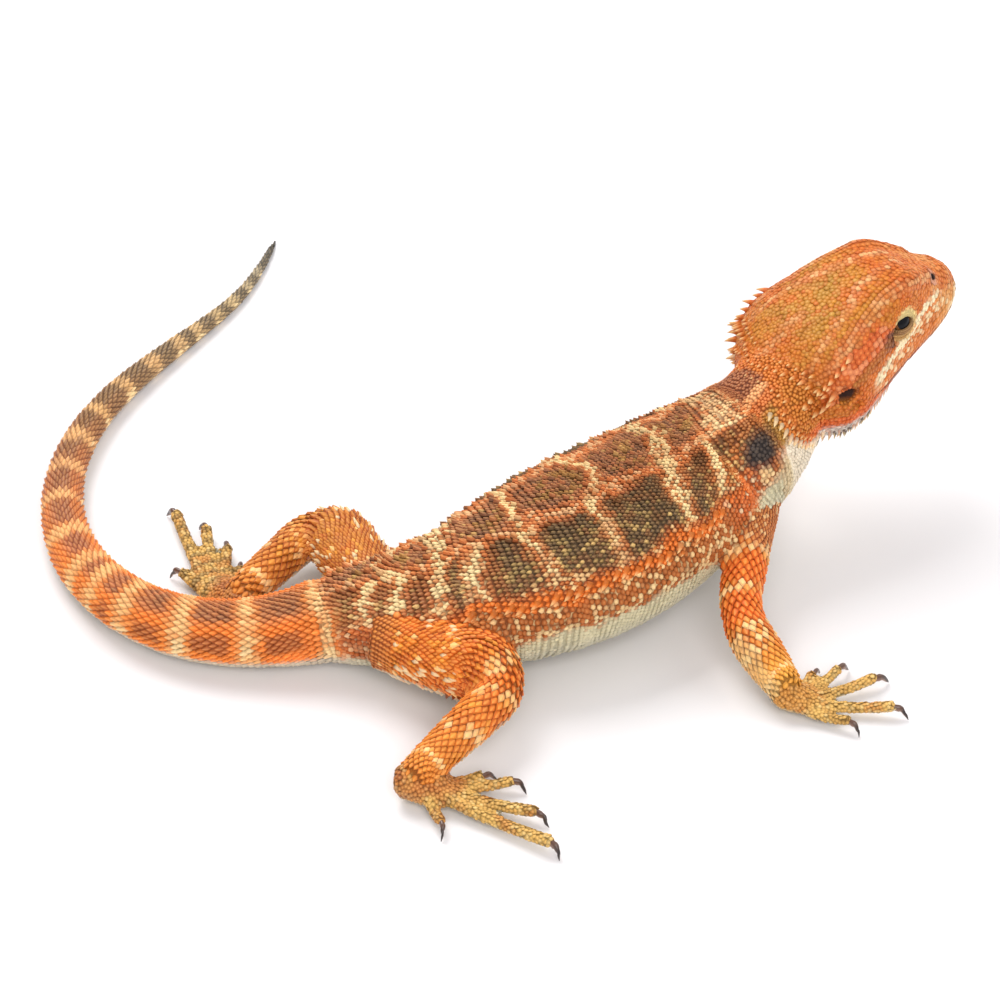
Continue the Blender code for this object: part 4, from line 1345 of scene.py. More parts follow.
        places = self.places_down(121.0, self.skeleton.spine.length - 0.6, self.tail_rows)
        points, corners, aheads, at, turns = self.rings(
            self.skeleton.spine, places, width, self.labels_of("tail"), 16.0, 4.0
        )
        wide = np.array([width(a, b) for a, b in zip(at, turns)])
        high = (1.5 - 0.8 * ease(90, 120, np.abs(turns - 4))) * np.interp(at, (120, 250, 356), (1.0, 0.9, 0.5))
        sizes = np.column_stack([np.interp(at, *self.tail_rows) * 1.7, wide * 1.12, high])
        sizes *= 0.9 + 0.2 * self.rng.random((len(sizes), 1))
        return self.roots(points, corners, aheads, sizes, np.where(at < 190, "tail_base_scales", "tail_end_scales"))

    def limb(self, name: str) -> Roots:
        """Rings of large keeled scales down a limb."""
        kind, side = name.split("_")
        line = self.skeleton.limbs[name]
        if kind == "arm":
            stops, wide, row = (18, 23, 44, 63), (1.05, 2.0, 1.9, 1.4), (0.85, 1.5, 1.4, 1.05)
        else:
            stops, wide, row = (8, 20, 36, 56, 74), (1.15, 1.3, 1.55, 2.0, 1.35), (0.9, 1.0, 1.15, 1.5, 1.0)
        owners = self.labels_of(*(start + side for start in LIMB_NODES[kind][:2]))

        def width(place: float, turn: float) -> float:
            """Spacing round the limb."""
            return float(np.interp(place, stops, wide))

        places = self.places_down(1.0, line.length + 1.0, (stops, row))
        points, corners, aheads, at, _ = self.rings(line, places, width, owners, self.limb_reach)
        wide_there = np.interp(at, stops, wide)
        sizes = np.column_stack([np.interp(at, stops, row) * 1.8, wide_there * 1.12, 1.25 * wide_there / 2])
        sizes = sizes * (0.88 + 0.24 * self.rng.random((len(at), 1)))
        if kind == "leg":
            flat = np.interp(at, (6, 17), (0.6, 1.0))
            sizes *= np.interp(at, (6, 17), (0.7, 1.0))[:, None] * np.column_stack([np.ones((len(at), 2)), flat])
            proud = (at > 12) & (at < 36) & (self.rng.random(len(at)) < 0.3)
            sizes[proud] *= (1.25, 1.15, 1.85)
        return self.roots(points, corners, aheads, sizes, np.full(len(at), f"{kind}_scales_{side}", dtype=object))

    def head_rows(self, markings: Markings) -> Roots:
        """Rows of larger scales on the head: lips, brows, nostrils, ears, and from the eye to the ear."""
        frame = self.skeleton.head
        made: list[Roots] = []

        def plant(line: np.ndarray, lies: np.ndarray, size: Spot) -> None:
            """Plants scales of one size at places in the head's frame."""
            points, _, corners = self.skin_at(frame.outward(line))
            sizes, group = np.tile(size, (len(line), 1)), np.full(len(line), "head_scales", object)
            made.append(self.roots(points, corners, frame.turn(lies), sizes, group))

        def row(path: list[Spot], spacing: float, size: Spot) -> None:
            """Plants a row on each side of the head."""
            for sign in (-1, 1):
                line = even_line(np.array(path) * (1, sign, 1), spacing)
                plant(line, np.gradient(line, axis=0), size)

        for shift, size in ((1.0, 1.55), (2.5, 1.5), (-1.25, 1.5), (-2.7, 1.4)):
            path = [(back, 22.0 if back > 3 else 3.0, height + shift) for back, height in markings.mouth[1:]]
            path = [(1.4, 3.0, path[0][2] + 1.6), (4.0, 9.0, path[0][2] + 1.0), *path]
            inside = [(back, min(out, 4 + 0.62 * back), height) for back, out, height in path]
            row(inside, size, (size * 1.55, size * 1.25, 0.9))
        for shift, rise, high in ((0.0, 0.0, 1.1), (-1.2, 0.4, 0.95), (-2.4, 0.7, 0.85)):
            row([(back, out + shift, up + rise) for back, out, up in markings.brow[1:-1]], 1.2, (1.7, 1.42, high))
        for sign in (-1, 1):
            for centre, wide, high, count, size in (
                (markings.nostril, 0.95, 0.8, 9, 0.75),
                (markings.ear, 2.7, 1.75, 17, 1.05),
            ):
                turns = np.linspace(0, 2 * math.pi, count, endpoint=False)
                ways = np.column_stack([np.cos(turns), np.zeros(count), np.sin(turns)])
                plant(np.array(centre) * (1, sign, 1) + ways * (wide, 0.0, high), ways, (size, size, size))
        for rise in (-1.6, 0.0, 1.6):
            row([(back, out, up + rise) for back, out, up in markings.cheek], 1.6, (2.15, 1.85, 1.0))
        return Roots.join(made)

    def spacing_at(self, points: np.ndarray, parts: np.ndarray) -> np.ndarray:
        """Spacing wanted between the scales that fill what the rows leave bare."""
        where = self.skeleton.head.inward(points)
        head = np.interp(where[:, 0], (0, 8, 18, 34, 48, 60, 68), (1.05, 1.12, 1.14, 1.08, 1.0, 0.92, 0.85))
        count = len(points)
        lids = np.column_stack([np.full(count, LID_BACK), np.sign(where[:, 1]) * LID_OUT, np.full(count, LID_HEIGHT)])
        head = np.where(np.linalg.norm(where - lids, axis=1) < 7.5, 0.75, head)
        table = {
            Part.HEAD: head, Part.NECK: 0.85, Part.TRUNK: 1.1, Part.TAIL: 1.6, Part.ARM: 1.5, Part.LEG: 1.7,
            Part.HAND: 0.86, Part.FOOT: 0.88,
        }
        return np.select(
            [parts == part.value for part in table], [value + np.zeros(count) for value in table.values()]
        )

    def apart(self, there: Roots, points: np.ndarray, rooms: np.ndarray) -> list[int]:
        """Chooses points that stand clear of the scales that are there and of one another.

        Args:
            there: the scales that are there.
            points: points in the order in which they are tried.
            rooms: the room that each would take up.

        Returns:
            The numbers of the points that are kept.
        """
        grid: dict[tuple[int, int, int], list[tuple[float, float, float, float]]] = {}

        def cell_of(x: float, y: float, z: float) -> tuple[int, int, int]:
            """The cell that a place is in."""
            return int(x // self.cell), int(y // self.cell), int(z // self.cell)

        def is_free(x: float, y: float, z: float, room: float) -> bool:
            """Whether no neighbour is nearer than the two have room for."""
            i, j, k = cell_of(x, y, z)
            for di, dj, dk in product((0, -1, 1), repeat=3):
                for ox, oy, oz, other in grid.get((i + di, j + dj, k + dk), ()):
                    least = (room + other) / 2
                    if (ox - x) ** 2 + (oy - y) ** 2 + (oz - z) ** 2 < least * least:
                        return False
            return True

        for point, size in zip(there.points.tolist(), there.sizes.tolist()):
            grid.setdefault(cell_of(*point), []).append((*point, size[1] * 0.78))
        kept = []
        for number, (point, room) in enumerate(zip(points.tolist(), rooms.tolist())):
            if is_free(*point, room):
                grid.setdefault(cell_of(*point), []).append((*point, room))
                kept.append(number)
        return kept

    def fill(self, there: Roots) -> Roots:
        """Scales spread evenly over the places that no row has reached, such as the head, hands and feet."""
        corners = self.hide.points[self.hide.faces]
        triangles = np.concatenate([corners[:, [0, 1, 2]], corners[:, [0, 2, 3]]])
        owner = np.concatenate([self.hide.faces[:, 0]] * 2)
        parts = self.hide.parts[owner]
        spacing = self.spacing_at(triangles.mean(axis=1), parts)
        bare = [part.value for part in (Part.HEAD, Part.NECK, Part.HAND, Part.FOOT)]
        weight = areas_of(triangles) / spacing**2 * np.where(np.isin(parts, bare), 1.0, 0.55)
        points, chosen = random_points(triangles, weight, int(weight.sum() * self.tries), self.rng)
        owner, spacing = owner[chosen], spacing[chosen]
        kept = self.apart(there, points, spacing * 0.84)
        points, owner, spacing = points[kept], owner[kept], spacing[kept]
        parts = self.hide.parts[owner]
        sizes = np.column_stack([spacing * 1.5, spacing * 1.34, np.clip(spacing, 0.8, 1.5) * 0.92])
        sizes *= np.where((parts == Part.HEAD.value)[:, None], (1.1, 1.1, 0.74), 1.0)
        names = {
            Part.HEAD: "head_scales", Part.NECK: "neck_scales", Part.TRUNK: "flank_scales",
            Part.TAIL: "tail_base_scales", Part.ARM: "arm_grains", Part.LEG: "leg_grains",
            Part.HAND: "hand_scales", Part.FOOT: "foot_scales",
        }
        group = np.array([f"{names[Part(value)]}_fill" for value in parts.tolist()], object)
        return self.roots(points, owner, self.lie_at(points, owner), sizes, group)

    def clear(self, roots: Roots, markings: Markings, eyes: list[Eye]) -> Roots:
        """Leaves out the scales over the ears, the nostrils, the eyes and the slit of the mouth."""
        where = self.skeleton.head.inward(roots.points)
        folded = HeadFrame.folded(where)
        keep = np.linalg.norm((folded - markings.ear) / (2.5, 5.0, 1.55), axis=1) > 1
        keep &= np.linalg.norm(folded - markings.nostril, axis=1) > 0.8
        keep &= (
            (np.abs(markings.mouth_gap(folded)) > 0.5) | (folded[:, 0] > 37) | (folded[:, 2] > 0)
            | (roots.parts != Part.HEAD.value)
        )
        for eye in eyes:
            keep &= np.linalg.norm(roots.points - eye.centre, axis=1) > eye.lid_reach - 0.4
        return roots.pick(keep)

    def lie_at(self, points: np.ndarray, owner: np.ndarray) -> np.ndarray:
        """The way that scales point at places on the skin."""
        hide, spine = self.hide, self.skeleton.spine
        place = spine.nearest(points)
        lies = np.column_stack([np.interp(place, spine.places, column) for column in spine.ahead.T])
        lies[hide.parts[owner] == Part.HEAD.value] = self.skeleton.head.turn(np.array([1.0, 0.0, 0.0]))
        for name, line in self.skeleton.limbs.items():
            kind, side = name.split("_")
            upper, lower, end = (start + side for start in LIMB_NODES[kind])
            chosen = np.isin(hide.labels[owner], list(self.labels_of(upper, lower)))
            along = line.nearest(points[chosen])
            lies[chosen] = np.column_stack([np.interp(along, line.places, column) for column in line.ahead.T])
            chosen = np.isin(hide.labels[owner], list(self.labels_of(end)))
            lies[chosen] = unit(points[chosen] - line.points[-4])
        return lies + np.array([1e-4, 2e-4, 3e-4])

    def cast(self, line: GuideLine, place: float, degrees: float, reach: float) -> tuple:
        """The skin found on a ray out from a guide line.

        Args:
            line: the guide line.
            place: distance along it.
            degrees: degrees round it.
            reach: how far the ray goes.

        Returns:
            The place and the normal there, the number of the face, and the line's direction; all but the last are
            None where there is no skin.
        """
        centre, ahead, left, above = line.at(place)
        way = math.cos(math.radians(degrees)) * above + math.sin(math.radians(degrees)) * left
        return (*self.hide.tree.ray_cast(Vector(centre), Vector(way), reach)[:3], ahead)

    def sprung(self, group: str, points: np.ndarray, ways: np.ndarray, bends: np.ndarray, sizes: np.ndarray) -> Roots:
        """Roots of spines near points, which stand in the ways given and bend over towards the others."""
        places, _, corners = self.skin_at(points)
        ways = unit(ways)
        lies = unit(bends - ways * np.einsum("nd,nd->n", bends, ways)[:, None])
        names = np.full(len(places), group, object)
        return Roots(places, ways, lies, sizes, self.hide.labels[corners], self.hide.parts[corners], names)

    def flank_spines(self, turn: float, length: float, gap: float, first: float, last: float) -> Roots:
        """A fringe along one flank, at degrees round the spine, from its first place to its last."""
        points, ways, bends = [], [], []
        for place in np.arange(first, last, gap):
            place, degrees = place + 0.5 * self.rng.random(), turn + 3.0 * (self.rng.random() - 0.5)
            hit, normal, _, ahead = self.cast(self.skeleton.spine, place, degrees, self.body_reach)
            if hit is not None:
                points.append(np.array(hit))
                ways.append(unit(np.array(normal) * 0.6 + ahead * 0.4 - UP * 0.6))
                bends.append(ahead)
        wide = 0.8 + 0.5 * length
        sizes = np.array([(wide, wide, length * (0.7 + 0.5 * self.rng.random())) for _ in points])
        return self.sprung("spines_flank", np.array(points), np.array(ways), np.array(bends), sizes)

    def head_spines(self, row: SpineRow, sign: int) -> Roots:
        """A row of spines on one side of the head."""
        head = self.skeleton.head
        line = even_line(through([np.array(knot) * (1, sign, 1) for knot in row.path]), row.gap)
        bends = np.tile(head.turn(np.array([1.0, 0.0, 0.0])), (len(line), 1))
        jitter = 0.25 * (self.rng.random((len(line), 3)) - 0.5)
        ways = unit(head.turn(np.array(row.way) * (1, sign, 1) + jitter))
        grown = np.interp(np.abs(line[:, 1]), (0, 4, 12), (0.45, 0.6, 1.0)) if row.crosses else np.ones(len(line))
        broad = row.width * (0.6 + 0.4 * grown)
        sizes = np.column_stack([broad, broad, row.length * grown * (0.75 + 0.45 * self.rng.random(len(line)))])
        made = self.sprung(row.group, head.outward(line), ways, bends, sizes)
        if row.group == "spines_dark":
            made.groups[self.rng.random(len(line)) >= 0.5] = "spines"
        return made

    def thigh_cones(self, side: str) -> Roots:
        """Cones scattered over the back, the top and the front of a thigh."""
        line, owners = self.skeleton.limbs[f"leg_{side}"], self.labels_of(f"thigh_{side}")
        sign = 1.0 if side == "right" else -1.0
        points, ways, bends, sizes = [], [], [], []
        for low, high, first, last, size, many in (
            (-120, -70, 14, 32, (1.9, 1.7, 1.8), 15),
            (20, 75, 14, 40, (1.3, 1.3, 2.0), 18),
            (-70, 20, 10, 34, (1.6, 1.5, 1.2), 12),
        ):
            for _ in range(many):
                place, degrees = first + (last - first) * self.rng.random(), low + (high - low) * self.rng.random()
                hit, normal, face, ahead = self.cast(line, place, sign * degrees, 16.0)
                if hit is not None and self.hide.labels[self.hide.faces[face][0]] in owners:
                    points.append(np.array(hit))
                    ways.append(unit(np.array(normal) * 0.75 + ahead * 0.7))
                    bends.append(ahead)
                    sizes.append(size)
        return self.sprung("spines_cone", np.array(points), np.array(ways), np.array(bends), np.array(sizes))

    def spines(self) -> Roots:
        """Spines along the flanks, round the back of the head, on the beard's edge, over the ears and on the thighs."""
        fringes = (
            (61.0, 1.1, 3.1, 30.0, 96.0), (65.5, 2.5, 2.7, 33.0, 95.0), (69.5, 1.2, 3.3, 36.0, 93.0),
            (-74.0, 1.1, 3.1, 30.0, 96.0), (-79.5, 2.5, 2.7, 33.0, 95.0), (-85.0, 1.2, 3.3, 36.0, 93.0),
        )
        made = [self.flank_spines(*fringe) for fringe in fringes]
        made += [self.head_spines(row, sign) for row in HEAD_SPINES for sign in (-1, 1)]
        made += [self.thigh_cones(side) for side in SIDES]
        return Roots.join(made)


# ---------------------------------------------------------------- nodes, forms and the coat


def add_node(
    tree: bpy.types.NodeTree, kind: str, settings: dict | None = None, inputs: dict | None = None
) -> bpy.types.Node:
    """Adds a node with its settings, its input values and its links.

    Args:
        tree: the tree that it goes into.
        kind: Blender's name for the type of node.
        settings: attributes to set on the node.
        inputs: values, or output sockets to link, by the name or number of the input.

    Returns:
        The node.
    """
    node = tree.nodes.new(kind)
    for name, value in (settings or {}).items():
        setattr(node, name, value)
    for key, value in (inputs or {}).items():
        if isinstance(value, bpy.types.NodeSocket):
            tree.links.new(value, node.inputs[key])
        else:
            node.inputs[key].default_value = value
    return node


def ring_shape(
    outline: np.ndarray, rings: list[tuple[float, float, float]], tilt: float, ridge: list[tuple[float, float, float]]
) -> tuple[np.ndarray, list[list[int]], np.ndarray]:
    """A closed scale from one outline drawn in at several heights.

    Args:
        outline: corners in the plane, an even number for a keeled scale.
        rings: size, height and rise of each ring from the rim up.
        tilt: how much higher the back of the scale is than its front.
        ridge: x, height and rise of the two ends of the keel, or of the one top point.

    Returns:
        Points, faces and the rise of each point from 0 in the groove to 1 on the keel.
    """
    count = len(outline)
    points, rise, faces = [], [], []
    for number, (size, height, value) in enumerate(rings):
        for x, y in outline:
            lean = tilt * (x + 0.5) if number else 0.0
            points.append((x * size, y * size, height + lean))
            rise.append(value)
    for level in range(len(rings) - 1):
        low, high = level * count, (level + 1) * count
        faces += [[low + k, low + (k + 1) % count, high + (k + 1) % count, high + k] for k in range(count)]
    top = (len(rings) - 1) * count
    for x, height, value in ridge:
        points.append((x, 0.0, height + tilt * (x + 0.5)))
        rise.append(value)
    front = len(points) - len(ridge)
    if len(ridge) == 2:
        back, half, turn = front + 1, count // 2, count // 4
        for k in range(turn):
            faces += [[top + k, top + k + 1, front], [top + count - k - 1, top + (count - k) % count, front]]
        faces += [[top + turn, back, front], [top + count - turn, front, back]]
        for k in range(turn, half):
            faces += [[top + k, top + k + 1, back], [top + count - k - 1, top + (count - k) % count, back]]
    else:
        faces += [[top + k, top + (k + 1) % count, front] for k in range(count)]
    faces.append(list(range(count))[::-1])
    return np.array(points), faces, np.array(rise)


def face_outwards(mesh: bpy.types.Mesh) -> None:
    """Turns the faces of a closed mesh outwards."""
    work = bmesh.new()
    work.from_mesh(mesh)
    bmesh.ops.recalc_face_normals(work, faces=work.faces)
    work.to_mesh(mesh)
    work.free()


def form_of(form: Form) -> bpy.types.Object:
    """One scale of a form, about one unit across, lying along +X with its outside up."""
    turns = {Form.PLATE: 7, Form.GRAIN: 6, Form.SPINE: 6}.get(form, 8)
    circle = [
        (-math.cos(2 * math.pi * k / turns) * 0.5, math.sin(2 * math.pi * k / turns) * 0.5) for k in range(turns)
    ]
    if form is Form.KEELED:
        half = [(-0.50, 0.0), (-0.36, 0.31), (0.0, 0.5), (0.33, 0.30), (0.68, 0.0)]
        outline = np.array(half + [(x, -y) for x, y in half[-2:0:-1]])
        shape = ring_shape(
            outline, [
                (0.84, -0.34, 0.0), (1.0, -0.03, 0.10), (0.76, 0.09, 0.52)
            ], 0.28, [(-0.24, 0.20, 0.86), (0.46, 0.38, 1.0)]
        )
    elif form is Form.PLATE:
        shape = ring_shape(
            np.array(circle), [(0.9, -0.34, 0.0), (1.0, 0.0, 0.10), (0.80, 0.13, 0.55)], 0.12, [(0.08, 0.21, 1.0)]
        )
    elif form is Form.GRAIN:
        shape = ring_shape(
            np.array(circle), [(0.86, -0.34, 0.0), (1.0, 0.0, 0.14), (0.66, 0.22, 0.75)], 0.10, [(0.05, 0.31, 1.0)]
        )
    else:
        points, faces, rise = ring_shape(
            np.array(circle), [
                (1.05, -0.30, 0.0), (0.92, 0.0, 0.1), (0.64, 0.34, 0.4), (0.34, 0.70, 0.75)
            ], 0.0, [(0.0, 1.0, 1.0)]
        )
        points[:, 0] += 0.32 * np.maximum(points[:, 2], 0) ** 2
        shape = points, faces, rise
    points, faces, rise = shape
    mesh = bpy.data.meshes.new(f"form_{form.value}")
    mesh.from_pydata(points.tolist(), [], faces)
    face_outwards(mesh)
    mesh.attributes.new("rise", "FLOAT", "POINT").data.foreach_set("value", rise.astype(np.float32))
    spot = np.column_stack([points[:, 0] + 0.5, points[:, 1] + 0.5, np.zeros(len(points))]) / 1.2
    mesh.attributes.new("spot", "FLOAT_VECTOR", "POINT").data.foreach_set("vector", spot.astype(np.float32).ravel())
    mesh.polygons.foreach_set("use_smooth", np.full(len(mesh.polygons), form is not Form.KEELED))
    return add_object(mesh.name, mesh)


@dataclass
class Coat:
    """Grows scales of one form from their roots by Geometry Nodes."""

    form: Form
    finish: bpy.types.Material
    patch: float = 0.003  # width of a scale's own patch on the map

    def tree(self) -> bpy.types.GeometryNodeTree:
        """The tree: an instance at each root, turned, sized, made real, mapped and finished."""
        tree = bpy.data.node_groups.new(f"grow_{self.form.value}", "GeometryNodeTree")
        face = tree.interface
        face.new_socket("Geometry", in_out="INPUT", socket_type="NodeSocketGeometry")
        face.new_socket("Scale form", in_out="INPUT", socket_type="NodeSocketObject")
        face.new_socket("Size", in_out="INPUT", socket_type="NodeSocketFloat").default_value = 1.0
        face.new_socket("Patch width", in_out="INPUT", socket_type="NodeSocketFloat").default_value = 0.003
        face.new_socket("Finish", in_out="INPUT", socket_type="NodeSocketMaterial")
        face.new_socket("Geometry", in_out="OUTPUT", socket_type="NodeSocketGeometry")
        given = add_node(tree, "NodeGroupInput").outputs
        read = {
            name: add_node(
                tree, "GeometryNodeInputNamedAttribute", {"data_type": "FLOAT_VECTOR"}, {"Name": name}
            ).outputs[0]
            for name in GUIDES
        }
        turned = add_node(
            tree, "FunctionNodeAxesToRotation", {
                "primary_axis": "Z", "secondary_axis": "X"
            }, {0: read["outward"], 1: read["lie"]}
        )
        sized = add_node(
            tree, "ShaderNodeVectorMath", {"operation": "SCALE"}, {0: read["size"], "Scale": given["Size"]}
        )
        one = add_node(tree, "GeometryNodeObjectInfo", {}, {"Object": given["Scale form"]})
        grown = add_node(
            tree, "GeometryNodeInstanceOnPoints", {},
            {
                "Points": given["Geometry"], "Instance": one.outputs["Geometry"], "Rotation": turned.outputs[0],
                "Scale": sized.outputs[0],
            },
        )
        real = add_node(tree, "GeometryNodeRealizeInstances", {}, {"Geometry": grown.outputs[0]})
        small = add_node(
            tree, "ShaderNodeVectorMath", {"operation": "SCALE"}, {0: read["spot"], "Scale": given["Patch width"]}
        )
        placed = add_node(tree, "ShaderNodeVectorMath", {"operation": "ADD"}, {0: small.outputs[0], 1: read["patch"]})
        mapped = add_node(
            tree, "GeometryNodeStoreNamedAttribute", {"data_type": "FLOAT2", "domain": "CORNER"},
            {"Geometry": real.outputs[0], "Name": "OFBake", "Value": placed.outputs[0]},
        )
        done = add_node(
            tree, "GeometryNodeSetMaterial", {}, {"Geometry": mapped.outputs[0], "Material": given["Finish"]}
        )
        add_node(tree, "NodeGroupOutput", {}, {"Geometry": done.outputs[0]})
        return tree

    def grow(self, name: str, roots: Roots, tints: np.ndarray, patches: np.ndarray) -> bpy.types.Object:
        """One coat piece as a plain mesh.

        Args:
            name: the piece's name.
            roots: where its scales grow.
            tints: their linear colours.
            patches: the corners of their patches on the map.

        Returns:
            The piece.
        """
        mesh = bpy.data.meshes.new(f"{name}_roots")
        mesh.vertices.add(len(roots.points))
        mesh.vertices.foreach_set("co", (roots.points * MM).astype(np.float32).ravel())
        for label, values in (
            ("lie", roots.lies), ("outward", roots.normals), ("size", roots.sizes * MM), ("patch", patches)
        ):
            mesh.attributes.new(label, "FLOAT_VECTOR", "POINT").data.foreach_set(
                "vector", values.astype(np.float32).ravel()
            )
        holder = add_object(f"{name}_roots", mesh)
        colour_in(holder, tints)
        shape, tree = form_of(self.form), self.tree()
        modifier = holder.modifiers.new("grow", "NODES")
        modifier.node_group = tree
        keys = {item.name: item.identifier for item in tree.interface.items_tree if item.in_out == "INPUT"}
        modifier[keys["Scale form"]] = shape
        modifier[keys["Patch width"]] = self.patch
        modifier[keys["Finish"]] = self.finish
        graph = bpy.context.evaluated_depsgraph_get()
        result = bpy.data.meshes.new_from_object(
            holder.evaluated_get(graph), preserve_all_data_layers=True, depsgraph=graph
        )
        result.name = name
        for label in GUIDES:
            if label in result.attributes:
                result.attributes.remove(result.attributes[label])
        made = add_object(name, result)
        holder.modifiers.clear()
        bpy.data.objects.remove(holder)
        bpy.data.objects.remove(shape)
        bpy.data.node_groups.remove(tree)
        return made


def map_places(markings: Markings, roots: Roots) -> np.ndarray:
    """Corner of each scale's patch: its root's place on the hide laid flat, one island to a region."""

    def island(across: float, up: float, along: np.ndarray, to_the_width: float, turn: np.ndarray) -> np.ndarray:
        """Places along and round a part, laid flat from a corner, so many millimetres to the map's width."""
        return np.column_stack([across + along / to_the_width, up + (turn + 180) / 800])

    place, turn = markings.around(markings.skeleton.spine, roots.points)
    where = markings.skeleton.head.inward(roots.points)
    head = island(0.66, 0.02, where[:, 0], 260, np.degrees(np.arctan2(where[:, 1], where[:, 2])))
    flat = np.where((roots.parts == Part.HEAD.value)[:, None], head, island(0.02, 0.02, place, 600, turn))
    for number, (name, line) in enumerate(markings.skeleton.limbs.items()):
        chosen = markings.of_limb(roots.labels, name)
        along, about = markings.around(line, roots.points[chosen])
        flat[chosen] = island(0.02 + 0.24 * number, 0.52, along, 560, about)
    return np.column_stack([np.clip(flat, 0.002, 0.995), np.zeros(len(flat))])


# ---------------------------------------------------------------- finishes


def blank_material(name: str) -> tuple[bpy.types.Material, bpy.types.NodeTree]:
    """A new material and its empty tree."""
    made = bpy.data.materials.new(name)
    made.use_nodes = True
    made.node_tree.nodes.clear()
    return made, made.node_tree


@dataclass(frozen=True)
class ScaleFinish:
    """Living reptile scale: keratin over pigment, grown in plates.

    Each plate is painted darker down in the groove round it, as shade, and paler along its keel, as a painted highlight
    (on spines mostly their own pale tips); it is satin rather than glossy.
    """

    name: str = "reptile_scale_keratin"
    roughness: float = 0.46
    groove: float = 0.40  # painted shade: how dark the colour is made at the bottom of the groove
    tip: str = "#FFD080"
    tip_own: float = 0.65  # how much of the tip's colour is the scale's own, brightened as a painted highlight
    tip_amount: float = 0.62
    worn: tuple[float, float] = (0.68, 1.0)  # rise at which the pale tip starts and is full: a painted highlight on keels, the spines' own pale tips
    grain: float = 0.35  # millimetres between the flecks on a plate

    def material(self) -> bpy.types.Material:
        """Builds the material."""
        made, tree = blank_material(self.name)
        tint = add_node(tree, "ShaderNodeAttribute", {"attribute_name": "tint"}).outputs["Color"]
        rise = add_node(tree, "ShaderNodeAttribute", {"attribute_name": "rise"}).outputs["Fac"]
        place = add_node(tree, "ShaderNodeTexCoord").outputs["Object"]
        flecks = add_node(
            tree, "ShaderNodeTexNoise", {}, {"Vector": place, "Scale": 1 / (self.grain * MM), "Detail": 2.0}
        ).outputs["Fac"]
        # painted shade: the tint is darkened down into the groove between the scales
        deep = add_node(
            tree, "ShaderNodeMapRange", {}, {"Value": rise, 1: 0.06, 2: 0.36, 3: self.groove, 4: 1.0}
        ).outputs[0]
        vary = add_node(tree, "ShaderNodeMapRange", {}, {"Value": flecks, 1: 0.3, 2: 0.7, 3: 0.86, 4: 1.1}).outputs[0]
        shade = add_node(tree, "ShaderNodeMath", {"operation": "MULTIPLY"}, {0: deep, 1: vary}).outputs[0]
        dark = add_node(tree, "ShaderNodeVectorMath", {"operation": "SCALE"}, {0: tint, "Scale": shade}).outputs[0]
        # painted highlight: towards the keel the colour is paled to the tip colour; on the spines this is mostly their
        # own pale tips
        worn = add_node(
            tree,
            "ShaderNodeMapRange",
            {},
            {"Value": rise, 1: self.worn[0], 2: self.worn[1], 3: 0.0, 4: self.tip_amount},
        ).outputs[0]
        # painted highlight: a brightened copy of the scale's own tint
        lit_tint = add_node(tree, "ShaderNodeVectorMath", {"operation": "SCALE"}, {0: tint, "Scale": 1.8}).outputs[0]
        tip = add_node(
            tree, "ShaderNodeMix", {"data_type": "RGBA"}, {0: self.tip_own, 6: (*linear(self.tip), 1.0), 7: lit_tint}
        ).outputs[2]
        light = add_node(tree, "ShaderNodeRGBToBW", {}, {"Color": tint}).outputs[0]
        shown = add_node(
            tree, "ShaderNodeMapRange", {}, {"Value": light, 1: 0.02, 2: 0.14, 3: 0.0, 4: 1.0}
        ).outputs[0]
        amount = add_node(tree, "ShaderNodeMath", {"operation": "MULTIPLY"}, {0: worn, 1: shown}).outputs[0]
        mixed = add_node(tree, "ShaderNodeMix", {"data_type": "RGBA"}, {0: amount, 6: dark, 7: tip}).outputs[2]
        bump = add_node(
            tree, "ShaderNodeBump", {}, {"Strength": 0.25, "Distance": 0.05 * MM, "Height": flecks}
        ).outputs[0]
        shader = add_node(
            tree, "ShaderNodeBsdfPrincipled", {},
            {
                "Base Color": mixed, "Roughness": self.roughness, "IOR": 1.5, "Specular IOR Level": 0.22,
                "Normal": bump,
            },
        )
        add_node(tree, "ShaderNodeOutputMaterial", {}, {"Surface": shader.outputs[0]})
        return made


@dataclass(frozen=True)
class SkinFinish:
    """Soft skin between the scales: dry and finely creased, darker along the creases as painted shade; its tint comes
    already darkened as painted shade between the scales.
    """

    name: str = "reptile_skin_creased"
    roughness: float = 0.62
    crease: float = 0.5  # millimetres between creases

    def material(self) -> bpy.types.Material:
        """Builds the material."""
        made, tree = blank_material(self.name)
        tint = add_node(tree, "ShaderNodeAttribute", {"attribute_name": "tint"}).outputs["Color"]
        place = add_node(tree, "ShaderNodeTexCoord").outputs["Object"]
        cells = add_node(
            tree,
            "ShaderNodeTexVoronoi",
            {"feature": "DISTANCE_TO_EDGE"},
            {"Vector": place, "Scale": 1 / (self.crease * MM)},
        ).outputs[0]
        # painted shade: the colour darkens towards the cells' edges, along the creases
        line = add_node(tree, "ShaderNodeMapRange", {}, {"Value": cells, 1: 0.0, 2: 0.16, 3: 0.72, 4: 1.0}).outputs[0]
        shade = add_node(tree, "ShaderNodeVectorMath", {"operation": "SCALE"}, {0: tint, "Scale": line}).outputs[0]
        bump = add_node(
            tree, "ShaderNodeBump", {}, {"Strength": 0.5, "Distance": 0.12 * MM, "Height": line}
        ).outputs[0]
        shader = add_node(
            tree, "ShaderNodeBsdfPrincipled", {}, {
                "Base Color": shade, "Roughness": self.roughness, "IOR": 1.45, "Specular IOR Level": 0.25,
                "Normal": bump,
            }
        )
        add_node(tree, "ShaderNodeOutputMaterial", {}, {"Surface": shader.outputs[0]})
        return made


